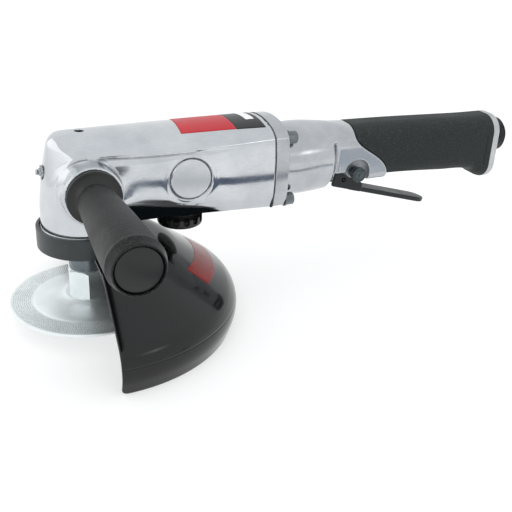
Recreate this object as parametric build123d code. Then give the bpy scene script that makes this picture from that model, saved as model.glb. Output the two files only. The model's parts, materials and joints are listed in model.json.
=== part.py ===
from build123d import *
import os
from math import atan2, cos, hypot, pi, radians, sin, tan

# Air angle grinder with a bevel drive head, half guard, side handle and lever throttle.
# Millimetres. The origin is on the spindle axis at the wheel seat, with the handle along +X,
# the side handle along -Y and the spindle axis along Z.

# Fits between pieces
running_fit = 0.05
seat_fit = 0.02
working_gap = 0.4

# Motor and housing
housing_length = 124.2
liner_radius = 24.0
barrel_wall = 6.0
roof_wall = 5.3
floor_wall = 5.0
barrel_clearance = 4.3
shoulder_x = 45.0
motor_front_x = 42.0
end_plate_width = 12.0
rear_plenum = 8.2
rotor_radius = 18.3
liner_bore = 20.2
liner_offset = 1.55
vane_count = 5
vane_width = 1.6
vane_depth = 9.0
vane_proud = 0.15
rotor_shaft = 6.0
rotor_bearing_radius = 13.0
rotor_bearing_width = 8.0
dowel_radius = 1.5
dowel_length = 14.0
badge_x = 64.4
badge_radius = 14.5
badge_groove = 1.0
badge_depth = 0.7

# Angle head
head_crown_radius = 22.0
head_belly_radius = 26.2
head_crease = 18.8
head_foot_wall = 2.2
head_foot_height = 12.3
nose_round = 10.0
nose_reach = 32.0
grease_hole_rise = 4.3
grease_hole_radius = 3.2
grease_spot_radius = 5.3
oil_hole_radius = 3.0

# Spindle, its bearings and the wheel flange
thread_radius = 7.9375
stub_length = 13.0
hub_seat = 8.6
hub_top_z = 26.4
nose_radius = 12.1
lower_bearing_z = 51.0
lower_bearing_width = 15.0
lower_bearing_bore = 10.0
lower_bearing_radius = 23.0
upper_bearing_rise = 9.5
upper_bearing_width = 8.0
upper_bearing_bore = 6.0
upper_bearing_radius = 14.0
race_wall = 2.6
race_groove = 0.9
ball_count = 9
seal_width = 4.4
seal_radius = 17.0
key_width = 4.0
key_depth = 1.6
lock_nut_flats = 20.0
lock_nut_height = 4.0
flange_radius = 53.0
flange_rim = 2.5
flange_ring = 15.0
flange_crown_z = 7.2
hub_flats = 25.4
hub_chamfer = 1.4

# Bevel gears
gear_teeth = 28
pinion_teeth = 12
gear_module = 1.5
gear_face = 7.0
tooth_backlash = 0.5
tooth_sink = 0.3
pressure_angle = 20.0
gear_bore = 9.0
gear_hub_radius = 13.0
pinion_bore = 4.5
pinion_hub_radius = 7.4

# Spindle cap and guard
cap_ledge = 1.3
cap_top_z = 58.2
cap_bottom_z = 44.9
spigot_wall = 3.0
cap_chamfer = 1.3
collar_wall = 2.2
collar_height = 14.2
collar_lip = 0.2
guard_radius = 99.0
guard_rim_z = -14.7
guard_sheet = 2.0
guard_break_radius = 55.7
guard_meet_radius = 106.6
guard_meet_z = 8.3
guard_deck_round = 22.0
guard_skirt_round = 21.0
guard_half_angle = 91.4
guard_corner = 4.0
clamp_angle = 102.0
clamp_gap = 4.0
clamp_lug = 4.5
clamp_reach = 11.0
clamp_screw_radius = 2.5
clamp_head_radius = 4.2
clamp_head_length = 4.6
clamp_nut_flats = 8.0

# Side handle
side_handle_drop = 2.4
boss_reach = 36.5
boss_radius = 18.8
boss_flare = 1.6
boss_blend = 16.0
stud_radius = 6.0
stud_depth = 15.0
side_flange_radius = 17.4
side_neck_radius = 11.2
side_end_radius = 16.3
side_length = 104.3
side_flange_width = 2.4
side_cap_radius = 12.9
side_cap_groove = 0.5
side_cap_depth = 3.6

# Exhaust deflector
deflector_x = 66.3
deflector_radius = 15.7
deflector_depth = 12.9
deflector_wall = 1.9
deflector_post = 4.6
exhaust_boss_radius = 13.5
exhaust_boss_drop = 2.4
exhaust_hole_radius = 8.5
exhaust_bar = 6.4
deflector_slots = 14
deflector_slot_width = 4.4
deflector_slot_height = 6.4
deflector_screw_radius = 2.0
deflector_head_radius = 3.6
deflector_head_height = 2.0

# Handle casting
gasket_thickness = 0.8
mount_flange = 10.0
mount_flange_bevel = 0.8
neck_drop = 2.7
neck_length = 39.0
neck_step = 4.6
neck_bulge = 0.9
neck_taper = 0.8
neck_cavity = 18.0
screw_radius = 3.0
screw_hole_gap = 0.2
screw_edge = 8.0
screw_top = 19.5
screw_low = 25.0
screw_grip = 20.0
screw_head_radius = 4.4
screw_head_length = 6.0
washer_radius = 5.0
washer_thickness = 1.2
handle_length = 142.5
grip_thickness = 3.5
grip_half_width = 17.0
grip_floor = 24.3
grip_foot = 16.5
block_half_width = 18.3
split_gap = 0.4
split_front = 19.2
split_rear = 47.8

# Valve block, throttle lever and regulator, from the end of the neck
pivot_reach = 17.3
pivot_drop = 22.2
valve_reach = 35.0
regulator_reach = 20.8
regulator_drop = 13.3
block_floor_drop = 12.0
pocket_radius = 9.0
pocket_depth = 5.0
regulator_lobe = 5.4
lug_half_width = 4.9
lug_radius = 5.2
pin_radius = 1.75
pin_bore = 0.9
lever_half_width = 7.7
lever_ear = 2.4
lever_thickness = 3.4
lever_tilt = 15.4
lever_drop = 6.45
lever_reach = 81.2
spool_radius = 3.6
spool_port = 2.6
knob_radius = 5.5
knob_length = 2.8
knob_proud = 5.6
ring_section = 0.8
valve_chamber = 7.0
valve_stem_radius = 2.5
valve_tip_radius = 1.6
poppet_radius = 5.4
poppet_height = 3.4
seat_height = 4.0
seat_bore = 3.9
spring_wire = 1.0
spring_radius = 4.0
spring_turns = 6

# Air inlet
end_cap_width = 6.2
end_cap_foot = 8.1
end_cap_round = 13.0
inlet_radius = 7.3
inlet_depth = 14.0
bushing_radius = 13.0
bushing_shank = 10.5
bushing_proud = 11.3
bushing_seat = 16.0
air_bore = 6.0
screen_thickness = 1.0
screen_hole = 0.8
screen_pitch = 2.6

# Places worked out from the sizes above
LOW = (Align.CENTER, Align.CENTER, Align.MIN)
barrel_half = liner_radius + barrel_wall
crown_rise = liner_radius + roof_wall
base_drop = liner_radius + floor_wall
motor_axis_z = cap_top_z + barrel_clearance + base_drop
crown_z = motor_axis_z + crown_rise
base_z = motor_axis_z - base_drop
head_foot_z = cap_top_z + head_foot_height
lower_bearing_top = lower_bearing_z + lower_bearing_width
upper_bearing_z = motor_axis_z + upper_bearing_rise
grease_hole_z = motor_axis_z + grease_hole_rise
side_handle_z = motor_axis_z - side_handle_drop
deflector_bottom_z = base_z - deflector_depth
cap_spigot = lower_bearing_radius + spigot_wall
head_foot_radius = cap_spigot + head_foot_wall
cap_radius = head_foot_radius + cap_ledge
collar_bottom_z = cap_top_z + collar_lip - collar_height
liner_front_x = motor_front_x + end_plate_width
liner_rear_x = housing_length - rear_plenum - end_plate_width
handle_x = housing_length + gasket_thickness
neck_x = handle_x + mount_flange
neck_axis_z = motor_axis_z - neck_drop
neck_radius = barrel_half - neck_step
neck_middle_radius = neck_radius + neck_bulge
neck_end_radius = neck_radius - neck_taper
block_x = neck_x + neck_length
handle_end_x = block_x + handle_length
pivot_x = block_x + pivot_reach
pivot_z = motor_axis_z - pivot_drop
valve_x = block_x + valve_reach
regulator_x = block_x + regulator_reach
regulator_z = motor_axis_z - regulator_drop
pocket_floor = block_half_width - pocket_depth
inlet_end_x = handle_end_x + end_cap_width + bushing_proud

SPINDLE = Pos(0, 0, 0)
MOTOR = Pos(0, 0, motor_axis_z) * Rot(0, 90, 0)
NECK = Pos(0, 0, neck_axis_z) * Rot(0, 90, 0)
SIDE = Pos(0, 0, side_handle_z) * Rot(90, 0, 0)
FAR_SIDE = Pos(0, 0, side_handle_z) * Rot(-90, 0, 0)
DEFLECTOR = Pos(deflector_x, 0, 0)
VALVE = Pos(valve_x, 0, 0)
REGULATOR = Pos(regulator_x, 0, regulator_z) * Rot(90, 0, 0)
PIVOT = Pos(pivot_x, 0, pivot_z) * Rot(90, 0, 0)

NODES = {}


# Building blocks

def rod(place, radius, start, end):
    """Round bar along the axis of a place, between two distances on that axis."""
    return place * Pos(0, 0, start) * Cylinder(radius, end - start, align=LOW)


def tube(place, outer, inner, start, end):
    """Round tube along the axis of a place."""
    return rod(place, outer, start, end) - rod(place, inner, start, end)


def hex_bar(place, flats, start, end):
    """Hexagonal bar of a given width across its flats."""
    outline = RegularPolygon(flats / 2, 6, major_radius=False)
    return place * Pos(0, 0, start) * extrude(outline, end - start)


def turned(place, corners):
    """Solid turned about the axis of a place from (radius, distance) corners."""
    outline = Polyline(*[(r, 0, s) for r, s in corners], close=True)
    return place * revolve(make_face(outline), Axis.Z)


def block(x, y, z):
    """Box between two limits on each axis."""
    size = [high - low for low, high in (x, y, z)]
    centre = [(high + low) / 2 for low, high in (x, y, z)]
    return Pos(*centre) * Box(*size)


def plate(face, x, length):
    """Slab of a cross section from x towards +X."""
    return Pos(x, 0, 0) * extrude(face, length, dir=(1, 0, 0))


def both_sides(shape):
    """A shape with its mirror image across the tool's middle plane."""
    return shape + mirror(shape, Plane.XZ)


def ring_of(count, shape, place=SPINDLE, first=0.0):
    """Copies of a shape spaced evenly round the axis of a place."""
    turns = [Rot(0, 0, first + 360 * k / count) for k in range(count)]
    return [place * turn * shape for turn in turns]


# Ball bearings

def bearing(name, place, bore, outer, start, width):
    """Outer ring, inner ring and balls of a bearing, as three nodes."""
    pitch = (bore + outer) / 2
    ball = (outer - bore) / 2 - race_wall + race_groove - running_fit
    middle = start + width / 2
    groove = place * Pos(0, 0, middle) * Torus(pitch, ball + running_fit)
    end = start + width
    NODES[name + "_outer_ring"] = tube(place, outer, outer - race_wall, start, end) - groove
    NODES[name + "_inner_ring"] = tube(place, bore + race_wall, bore, start, end) - groove
    balls = ring_of(ball_count, Pos(pitch, 0, middle) * Sphere(ball), place)
    NODES[name + "_balls"] = Compound(balls)


# Bevel gears share one apex, where the spindle and motor axes cross.

def bevel_cone(teeth, mate):
    """Pitch cone half angle and cone distance of a straight bevel gear."""
    angle = atan2(teeth, mate)
    distance = gear_module * hypot(teeth, mate) / 2
    return angle, distance


def bevel_point(angle, distance, height):
    """(radius, distance along the axis) of a point at a height above the pitch cone."""
    radius = distance * sin(angle) + height * cos(angle)
    along = distance * cos(angle) - height * sin(angle)
    return radius, along


def bevel_tooth(angle, distance):
    """One tooth, tapering towards the apex at the origin, above the +X side of the axis."""
    addendum = gear_module
    dedendum = 1.25 * gear_module + tooth_sink
    flank = tan(radians(pressure_angle))
    half = (pi * gear_module / 2 - tooth_backlash) / 2
    corners = []
    for height, side in ((-dedendum, -1), (-dedendum, 1), (addendum, 1), (addendum, -1)):
        radius, along = bevel_point(angle, distance, height)
        corners.append(Vector(radius, side * (half - height * flank), along))
    taper = (distance - gear_face) / distance
    ends = [make_face(Polyline(*[c * scale for c in corners], close=True)) for scale in (1, taper)]
    return loft(ends, ruled=True)


def bevel_gear(place, teeth, mate, bore, hub_radius, hub_end, first):
    """Bevel gear on a place whose origin is the apex and whose axis points to the gear's back."""
    angle, distance = bevel_cone(teeth, mate)
    root = -1.25 * gear_module
    taper = (distance - gear_face) / distance
    big = bevel_point(angle, distance, root)
    small = (big[0] * taper, big[1] * taper)
    back = big[1] + gear_module
    corners = [(bore, small[1]), small, big, (big[0], back), (hub_radius, back + gear_module)]
    corners += [(hub_radius, hub_end), (bore, hub_end)]
    teeth_round = ring_of(teeth, bevel_tooth(angle, distance), SPINDLE, first)
    return place * (turned(SPINDLE, corners) + teeth_round)


# Motor housing

def barrel_outline(x, crown, roof, crease, belly, foot, base):
    """Section across the motor barrel from (half width, height) pairs about the motor axis."""
    def at(side, place):
        return Vector(x, side * place[0], motor_axis_z + place[1])

    top = Vector(x, 0, motor_axis_z + crown)
    edges = [ThreePointArc(at(-1, roof), top, at(1, roof))]
    for side in (1, -1):
        corner = (foot[0], base[1])
        edges.append(Line(at(side, roof), at(side, crease)))
        edges.append(ThreePointArc(at(side, crease), at(side, (belly, 0)), at(side, foot)))
        edges.append(Bezier(at(side, foot), at(side, corner), at(side, base)))
    edges.append(Line(at(1, base), at(-1, base)))
    return make_face(edges)


def rear_outline(x, inset=0):
    """Section of the barrel at the seam, which the mounting flange shares, drawn in by an inset."""
    return barrel_outline(
        x,
        crown=crown_rise + 0.5 - inset,
        roof=(barrel_half - 8.5 - inset / 2, crown_rise - 3.0 - inset),
        crease=(barrel_half - 2.4 - inset, crown_rise - 7.4 - inset / 2),
        belly=barrel_half - inset,
        foot=(barrel_half - 1.8 - inset, 7.0 - base_drop + inset / 2),
        base=(barrel_half - 6.0 - inset / 2, inset - base_drop),
    )


def head_profile():
    """Half section of the angle head: tapered barrel with a rounded top edge."""
    crease_z = motor_axis_z + head_crease
    belly_z = motor_axis_z - 3.0
    edge_z = crown_z - nose_round
    edge_radius = head_crown_radius - (edge_z - crease_z) / 3
    flat = edge_radius - 0.9 * nose_round
    edges = [
        Line((0, 0, cap_top_z), (head_foot_radius, 0, cap_top_z)),
        Line((head_foot_radius, 0, cap_top_z), (head_foot_radius, 0, head_foot_z)),
        ThreePointArc((head_foot_radius, 0, head_foot_z), (head_belly_radius, 0, belly_z),
                      (head_crown_radius, 0, crease_z)),
        Line((head_crown_radius, 0, crease_z), (edge_radius, 0, edge_z)),
        Bezier((edge_radius, 0, edge_z), (edge_radius - 1.6, 0, crown_z - 1.6), (flat, 0, crown_z)),
        Line((flat, 0, crown_z), (0, 0, crown_z)),
        Line((0, 0, crown_z), (0, 0, cap_top_z)),
    ]
    return make_face(edges)


def housing_skin():
    """Outside of the casting: head, motor barrel, handle bosses and exhaust boss."""
    head_roof = crown_rise - 2.0
    sections = [
        barrel_outline(
            x,
            crown=crown_rise,
            roof=(roof_half, head_roof),
            crease=(head_crown_radius - narrow, head_crease),
            belly=head_belly_radius,
            foot=(head_foot_radius, head_foot_z - motor_axis_z),
            base=(head_foot_radius - 6.2, -base_drop),
        )
        for x, roof_half, narrow in ((-nose_reach, 8.4, 4.6), (0, 12.0, 0))
    ]
    sections.append(barrel_outline(
        shoulder_x,
        crown=crown_rise - 0.8,
        roof=(barrel_half - 12.0, head_roof - 0.8),
        crease=(barrel_half - 1.2, head_crease + 0.6),
        belly=barrel_half + 0.2,
        foot=(barrel_half - 2.0, 10.0 - base_drop),
        base=(barrel_half - 10.0, -base_drop),
    ))
    barrel = loft(sections + [rear_outline(housing_length)])
    ahead = block((-2 * nose_reach, 0), (-100, 100), (0, 200))
    head = revolve(head_profile(), Axis.Z) & barrel
    foot_ring = rod(SPINDLE, head_foot_radius, cap_top_z, head_foot_z)
    boss = SIDE * revolve(boss_profile(), Axis.Z)
    exhaust_boss = rod(DEFLECTOR, exhaust_boss_radius, base_z - exhaust_boss_drop, motor_axis_z)
    return barrel - ahead + head + foot_ring + both_sides(boss) + exhaust_boss


def boss_profile():
    """Half section of a side handle boss, spreading where it leaves the head."""
    root = boss_radius + boss_flare
    spread = boss_reach - boss_blend
    lip = boss_radius - 0.6
    straight = boss_reach - 4
    edges = [
        Polyline((lip, 0, boss_reach), (0, 0, boss_reach), (0, 0, 0), (root, 0, 0), (root, 0, spread)),
        Bezier((root, 0, spread), (boss_radius, 0, spread + 1), (boss_radius, 0, straight)),
        Polyline((boss_radius, 0, straight), (boss_radius, 0, boss_reach - 0.6), (lip, 0, boss_reach)),
    ]
    return make_face(edges)


def screw_places():
    """(y, z) of the four screws that hold the handle to the housing."""
    y = barrel_half - screw_edge
    return [(side * y, motor_axis_z + z) for side in (1, -1) for z in (screw_top, -screw_low)]


def motor_housing():
    """Polished casting, bored for the motor, the gears, the bearings and its fittings."""
    angle, distance = bevel_cone(pinion_teeth, gear_teeth)
    pinion_tip, pinion_at = bevel_point(angle, distance, gear_module)
    gear_tip = gear_module * gear_teeth / 2 + gear_module
    cavity_radius = gear_tip + working_gap
    gear_top = motor_axis_z - pinion_at * tan(angle) + 2 * gear_module
    ceiling = upper_bearing_z - 1.0
    cavity = turned(SPINDLE, [
        (0, lower_bearing_top), (cavity_radius, lower_bearing_top), (cavity_radius, gear_top),
        (upper_bearing_radius + 2, ceiling), (0, ceiling),
    ])
    voids = [
        rod(MOTOR, liner_radius + seat_fit, motor_front_x, housing_length + 1),
        rod(MOTOR, pinion_tip + 1.5, 0, pinion_at + 6),
        rod(MOTOR, pinion_hub_radius + 1.0, 0, motor_front_x + 1),
        cavity,
        rod(SPINDLE, upper_bearing_radius + seat_fit, ceiling - 1, upper_bearing_z + upper_bearing_width),
        rod(SPINDLE, oil_hole_radius, upper_bearing_z, crown_z + 5),
        rod(SPINDLE, cap_spigot + seat_fit, cap_top_z - 1, lower_bearing_top + seat_fit),
        rod(SIDE, stud_radius, boss_reach - stud_depth, boss_reach + 1),
        rod(FAR_SIDE, stud_radius, boss_reach - stud_depth, boss_reach + 1),
        rod(DEFLECTOR, exhaust_hole_radius, base_z - 10, motor_axis_z - liner_radius + 2)
        - block((0, 2 * deflector_x), (-exhaust_bar / 2, exhaust_bar / 2), (0, motor_axis_z)),
        rod(DEFLECTOR, deflector_screw_radius, base_z - 10, motor_axis_z - liner_radius),
        rod(Pos(0, 0, grease_hole_z) * Rot(0, -90, 0), grease_hole_radius, 10, 60),
        rod(Pos(0, 0, grease_hole_z) * Rot(0, -90, 0), grease_spot_radius, head_belly_radius - 1.6, 60),
    ]
    for y, z in screw_places():
        place = Pos(0, y, z) * Rot(0, 90, 0)
        voids.append(rod(place, screw_radius, housing_length - screw_grip, housing_length + 1))
    badge = Pos(badge_x, 0, motor_axis_z) * Rot(90, 0, 0)
    groove_floor = barrel_half - badge_depth
    groove = tube(badge, badge_radius, badge_radius - badge_groove, groove_floor, barrel_half + 5)
    return housing_skin() - voids - both_sides(groove)


def grease_fitting():
    """Ball type grease nipple with a round base, on the nose of the head."""
    place = Pos(0, 0, grease_hole_z) * Rot(0, -90, 0)
    seat = head_belly_radius - 1.6
    base = rod(place, grease_spot_radius - 0.9, seat, seat + 1.3)
    nipple = turned(place, [(0, seat), (2.6, seat), (2.4, seat + 2.2), (1.6, seat + 2.8), (2.1, seat + 3.5),
                            (1.3, seat + 4.3), (0, seat + 4.3)])
    return rod(place, grease_hole_radius - seat_fit, seat - 6, seat) + base + nipple


# Spindle and what it carries

def spindle():
    """Stepped shaft: wheel thread, nose, bearing seats, gear seat and lock nut thread."""
    gear_top = gear_top_z()
    nut_top = gear_top + lock_nut_height
    top = upper_bearing_z + upper_bearing_width
    shaft = turned(SPINDLE, [
        (0, -stub_length), (thread_radius - 1, -stub_length), (thread_radius, 1 - stub_length),
        (thread_radius, 0), (hub_seat, 0), (hub_seat, hub_top_z), (nose_radius, hub_top_z),
        (nose_radius, lower_bearing_z),
        (lower_bearing_bore - seat_fit, lower_bearing_z),
        (lower_bearing_bore - seat_fit, lower_bearing_top),
        (gear_bore - seat_fit, lower_bearing_top), (gear_bore - seat_fit, gear_top),
        (gear_bore - 1, gear_top), (gear_bore - 1, nut_top), (upper_bearing_bore + 1, nut_top),
        (upper_bearing_bore + 1, upper_bearing_z), (upper_bearing_bore - seat_fit, upper_bearing_z),
        (upper_bearing_bore - seat_fit, top), (0, top),
    ])
    return shaft - key_space(0)


def gear_top_z():
    """Height of the flat top of the bevel gear's blank."""
    angle, distance = bevel_cone(gear_teeth, pinion_teeth)
    taper = (distance - gear_face) / distance
    return motor_axis_z - bevel_point(angle, distance, -1.25 * gear_module)[1] * taper


def key_space(gap):
    """Parallel key between the spindle and the gear, or its keyway when a gap is added."""
    half = key_width / 2 + gap
    depth = key_depth + gap
    low = lower_bearing_top + 2 - gap
    high = gear_top_z() - 3 + gap
    return block((gear_bore - depth, gear_bore + depth), (-half, half), (low, high))


def spindle_gear():
    """Bevel gear on the spindle, standing on the lower bearing's inner ring."""
    place = Pos(0, 0, motor_axis_z) * Rot(180, 0, 0)
    hub_end = motor_axis_z - lower_bearing_top
    gear = bevel_gear(place, gear_teeth, pinion_teeth, gear_bore, gear_hub_radius, hub_end, 0)
    return gear - key_space(0)


def motor_pinion():
    """Bevel pinion on the rotor shaft, with a tooth space facing the gear's tooth."""
    hub_end = motor_front_x - working_gap
    half_tooth = 180 / pinion_teeth
    return bevel_gear(MOTOR, pinion_teeth, gear_teeth, pinion_bore, pinion_hub_radius, hub_end, half_tooth)


def lock_nut():
    """Thin nut that holds the gear down on the spindle."""
    low = gear_top_z()
    nut = hex_bar(SPINDLE, lock_nut_flats, low, low + lock_nut_height)
    return nut - rod(SPINDLE, gear_bore - 1, low, 2 * low)


def wheel_flange():
    """Plated disc with a flat rim ring, a dished middle and a hexagonal hub."""
    ring_inner = flange_radius - flange_ring
    hub_corner = hub_flats / 3 ** 0.5
    disc = turned(SPINDLE, [
        (0, 0), (flange_radius - 0.6, 0), (flange_radius, 0.6), (flange_radius, flange_rim - 0.5),
        (flange_radius - 0.5, flange_rim), (ring_inner, flange_rim), (ring_inner - 1.2, flange_rim + 0.5),
        (hub_corner + 7, (flange_rim + flange_crown_z) / 2), (hub_corner + 0.4, flange_crown_z),
        (0, flange_crown_z),
    ])
    bevel = hub_flats / 2 - hub_chamfer / 2
    outside = turned(SPINDLE, [
        (0, 0), (hub_corner + 1, 0), (hub_corner + 1, hub_top_z - (hub_corner + 1 - bevel) * 0.6),
        (bevel, hub_top_z), (0, hub_top_z),
    ])
    hub = hex_bar(Rot(0, 0, 21), hub_flats, 1, hub_top_z) & outside
    return disc + hub - rod(SPINDLE, hub_seat + seat_fit, -1, hub_top_z + 1)


def spindle_cap():
    """Turned cap that closes the head, holds the lower bearing and carries the guard."""
    floor = lower_bearing_z
    body = turned(SPINDLE, [
        (nose_radius + 1, cap_bottom_z), (cap_radius - 0.6, cap_bottom_z),
        (cap_radius, cap_bottom_z + 0.6), (cap_radius, cap_top_z - cap_chamfer),
        (cap_radius - cap_chamfer, cap_top_z), (cap_spigot, cap_top_z), (cap_spigot, lower_bearing_top),
        (lower_bearing_radius, lower_bearing_top), (lower_bearing_radius, floor),
        (seal_radius, floor), (seal_radius, floor - seal_width), (nose_radius + 1, floor - seal_width),
    ])
    return body


def dust_seal():
    """Rubber seal between the cap and the spindle nose."""
    top = lower_bearing_z - running_fit
    low = lower_bearing_z - seal_width
    return tube(SPINDLE, seal_radius - seat_fit, nose_radius + running_fit, low, top)


# Vane motor

def cylinder_liner():
    """Motor cylinder with an offset bore, inlet notches and exhaust holes underneath."""
    body = rod(MOTOR, liner_radius, liner_front_x, liner_rear_x)
    bore = Pos(0, 0, liner_offset) * rod(MOTOR, liner_bore, liner_front_x - 1, liner_rear_x + 1)
    exhaust = [
        Pos(deflector_x + step, 0, 0) * rod(SPINDLE, 2.4, base_z, motor_axis_z) for step in (-7, 0, 7)
    ]
    return body - bore - exhaust - dowel_hole()


def dowel_hole():
    """Bar that lines the liner up with the rear end plate."""
    low = motor_axis_z - (liner_radius + liner_bore - liner_offset) / 2
    start = liner_rear_x - dowel_length / 2
    return rod(Pos(0, 0, low) * Rot(0, 90, 0), dowel_radius, start, start + dowel_length)


def end_plate(start, pocket_start, pocket_end):
    """Motor end plate with a bearing pocket and a hole for the rotor shaft."""
    body = tube(MOTOR, liner_radius, rotor_shaft + 0.6, start, start + end_plate_width)
    return body - rod(MOTOR, rotor_bearing_radius, pocket_start, pocket_end)


def rotor():
    """Slotted rotor with journals, and a spigot that carries the pinion."""
    gap = working_gap / 2
    front = liner_front_x + gap
    rear = liner_rear_x - gap
    tail = liner_rear_x + end_plate_width
    journal = rotor_shaft - seat_fit
    shaft = turned(MOTOR, [
        (0, pinion_start_x()), (pinion_bore - seat_fit, pinion_start_x()),
        (pinion_bore - seat_fit, motor_front_x - working_gap),
        (journal, motor_front_x - working_gap), (journal, front), (rotor_radius, front),
        (rotor_radius, rear), (journal, rear), (journal, tail), (0, tail),
    ])
    low = rotor_radius - vane_depth
    slot = block((front - 1, rear + 1), (-vane_width / 2, vane_width / 2), (low, rotor_radius + 5))
    turns = [Pos(0, 0, motor_axis_z) * Rot(360 * k / vane_count, 0, 0) * slot for k in range(vane_count)]
    return shaft - turns


def pinion_start_x():
    """Front face of the pinion's blank."""
    angle, distance = bevel_cone(pinion_teeth, gear_teeth)
    return bevel_point(angle, distance, -1.25 * gear_module)[1] * (distance - gear_face) / distance


def rotor_vanes():
    """Sliding blades, drawn in their slots at the depth where the bore is closest."""
    gap = working_gap / 2
    half = vane_width / 2 - running_fit
    low = rotor_radius - vane_depth + 0.3
    high = rotor_radius + vane_proud
    vane = block((liner_front_x + gap, liner_rear_x - gap), (-half, half), (low, high))
    turns = [Pos(0, 0, motor_axis_z) * Rot(360 * k / vane_count, 0, 0) * vane for k in range(vane_count)]
    return Compound(turns)


# Guard

def inset_corner(before, corner, after, depth):
    """Corner of an outline moved inwards, so that both of its lines move by a depth."""
    normals = []
    for (r0, z0), (r1, z1) in ((before, corner), (corner, after)):
        length = hypot(r1 - r0, z1 - z0)
        normals.append(((z1 - z0) / length, (r0 - r1) / length))
    (a, b), (c, d) = normals
    reach = depth / (1 + a * c + b * d)
    return corner[0] + reach * (a + c), corner[1] + reach * (b + d)


def guard_shell():
    """Half guard pressed from sheet: flat deck, sloping shoulder and a skirt that draws in."""
    t = guard_sheet
    hole = cap_radius + running_fit
    deck = collar_bottom_z
    outer = [
        (hole, deck), (guard_break_radius, deck), (guard_meet_radius, guard_meet_z),
        (guard_radius, guard_rim_z),
    ]
    inner = [inset_corner(*outer[k - 1:k + 2], t) for k in (2, 1)]
    corners = outer + [(guard_radius - t, guard_rim_z)] + inner + [(hole, deck - t)]
    face = make_face(Polyline(*[(r, 0, z) for r, z in corners], close=True))
    rounds = [guard_deck_round, guard_skirt_round, guard_skirt_round - t, guard_deck_round - t]
    for (r, z), radius in zip(outer[1:3] + inner, rounds):
        corner = face.vertices().sort_by_distance((r, 0, z))[0]
        face = fillet(corner, radius)
    shell = revolve(Rot(0, 0, -guard_half_angle) * face, Axis.Z, 2 * guard_half_angle)
    rim_edges = shell.edges().filter_by(lambda e: abs(e.center().Z - guard_rim_z) < 0.01)
    low_ends = rim_edges.filter_by(lambda e: e.length < 2 * t)
    return fillet(low_ends, guard_corner)


def guard_collar():
    """Split clamp ring with two lugs, welded to the guard's deck."""
    inner = cap_radius + running_fit
    outer = inner + collar_wall
    top = collar_bottom_z + collar_height
    lug_low = collar_bottom_z + 2
    lug_high = top - 2
    lugs = block(
        (inner + 0.5, outer + clamp_reach), (-clamp_gap / 2 - clamp_lug, clamp_gap / 2 + clamp_lug),
        (lug_low, lug_high),
    )
    ends = lugs.edges().filter_by(Axis.Y).group_by(Axis.X)[-1]
    lugs = fillet(ends, 3.0)
    slot = block((0, 2 * outer), (-clamp_gap / 2, clamp_gap / 2), (0, 2 * top))
    turn = Rot(0, 0, clamp_angle)
    ring = chamfer_ring(rod(SPINDLE, outer, collar_bottom_z, top)) + turn * lugs
    bore = rod(SPINDLE, inner, 0, 2 * top)
    return ring - bore - turn * slot - rod(clamp_place(), clamp_screw_radius + screw_hole_gap, -50, 50)


def chamfer_ring(shape):
    """Breaks the upper edge of the collar."""
    edge = shape.edges().filter_by(GeomType.CIRCLE).sort_by(Axis.Z)[-1]
    return chamfer(edge, 0.6)


def clamp_place():
    """Axis of the clamp screw, across the gap between the lugs."""
    radius = cap_radius + collar_wall + clamp_reach / 2 + 1
    height = collar_bottom_z + collar_height / 2
    return Rot(0, 0, clamp_angle) * Pos(radius, 0, height) * Rot(-90, 0, 0)


def clamp_screw():
    """Hex socket screw through both lugs."""
    outside = clamp_gap / 2 + clamp_lug
    length = clamp_nut_flats / 2 + 1
    shank = rod(clamp_place(), clamp_screw_radius, -outside, outside + length)
    head = rod(clamp_place(), clamp_head_radius, -outside - clamp_head_length, -outside)
    return shank + head - hex_bar(clamp_place(), clamp_head_radius, -outside - 5, -outside - 2)


def clamp_nut():
    """Hexagonal nut on the far lug."""
    outside = clamp_gap / 2 + clamp_lug
    nut = hex_bar(clamp_place(), clamp_nut_flats, outside, outside + clamp_nut_flats / 2)
    return nut - rod(clamp_place(), clamp_screw_radius, 0, 50)


# Side handle

def side_handle_grip():
    """Moulded grip: bell shaped flange, slim neck and a swelling barrel with a round end."""
    start = boss_reach
    end = start + side_length
    bell = start + side_flange_width
    cap_recess = end - side_cap_depth
    recess_radius = side_cap_radius + side_cap_groove
    rim = recess_radius + 0.6
    edges = [
        Line((stud_radius, 0, start), (side_flange_radius, 0, start)),
        Line((side_flange_radius, 0, start), (side_flange_radius, 0, bell)),
        Bezier((side_flange_radius, 0, bell), (side_neck_radius + 1, 0, bell + 2),
               (side_neck_radius, 0, bell + 5), (side_neck_radius, 0, bell + 9)),
        Bezier((side_neck_radius, 0, bell + 9), (side_neck_radius, 0, bell + 22),
               (side_end_radius, 0, end - 34), (side_end_radius, 0, end - 8)),
        Bezier((side_end_radius, 0, end - 8), (side_end_radius, 0, end - 2), (rim + 1.4, 0, end),
               (rim, 0, end)),
        Polyline((rim, 0, end), (recess_radius, 0, end), (recess_radius, 0, cap_recess),
                 (0, 0, cap_recess), (0, 0, stud_tip()), (stud_radius, 0, stud_tip()),
                 (stud_radius, 0, start)),
    ]
    return SIDE * revolve(make_face(edges), Axis.Z)


def stud_tip():
    """Outer end of the stud, inside the side handle."""
    return boss_reach + 2 * stud_depth


def side_handle_stud():
    """Threaded steel stud moulded into the side handle and screwed into the head."""
    return rod(SIDE, stud_radius, boss_reach - stud_depth + 1, stud_tip())


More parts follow.
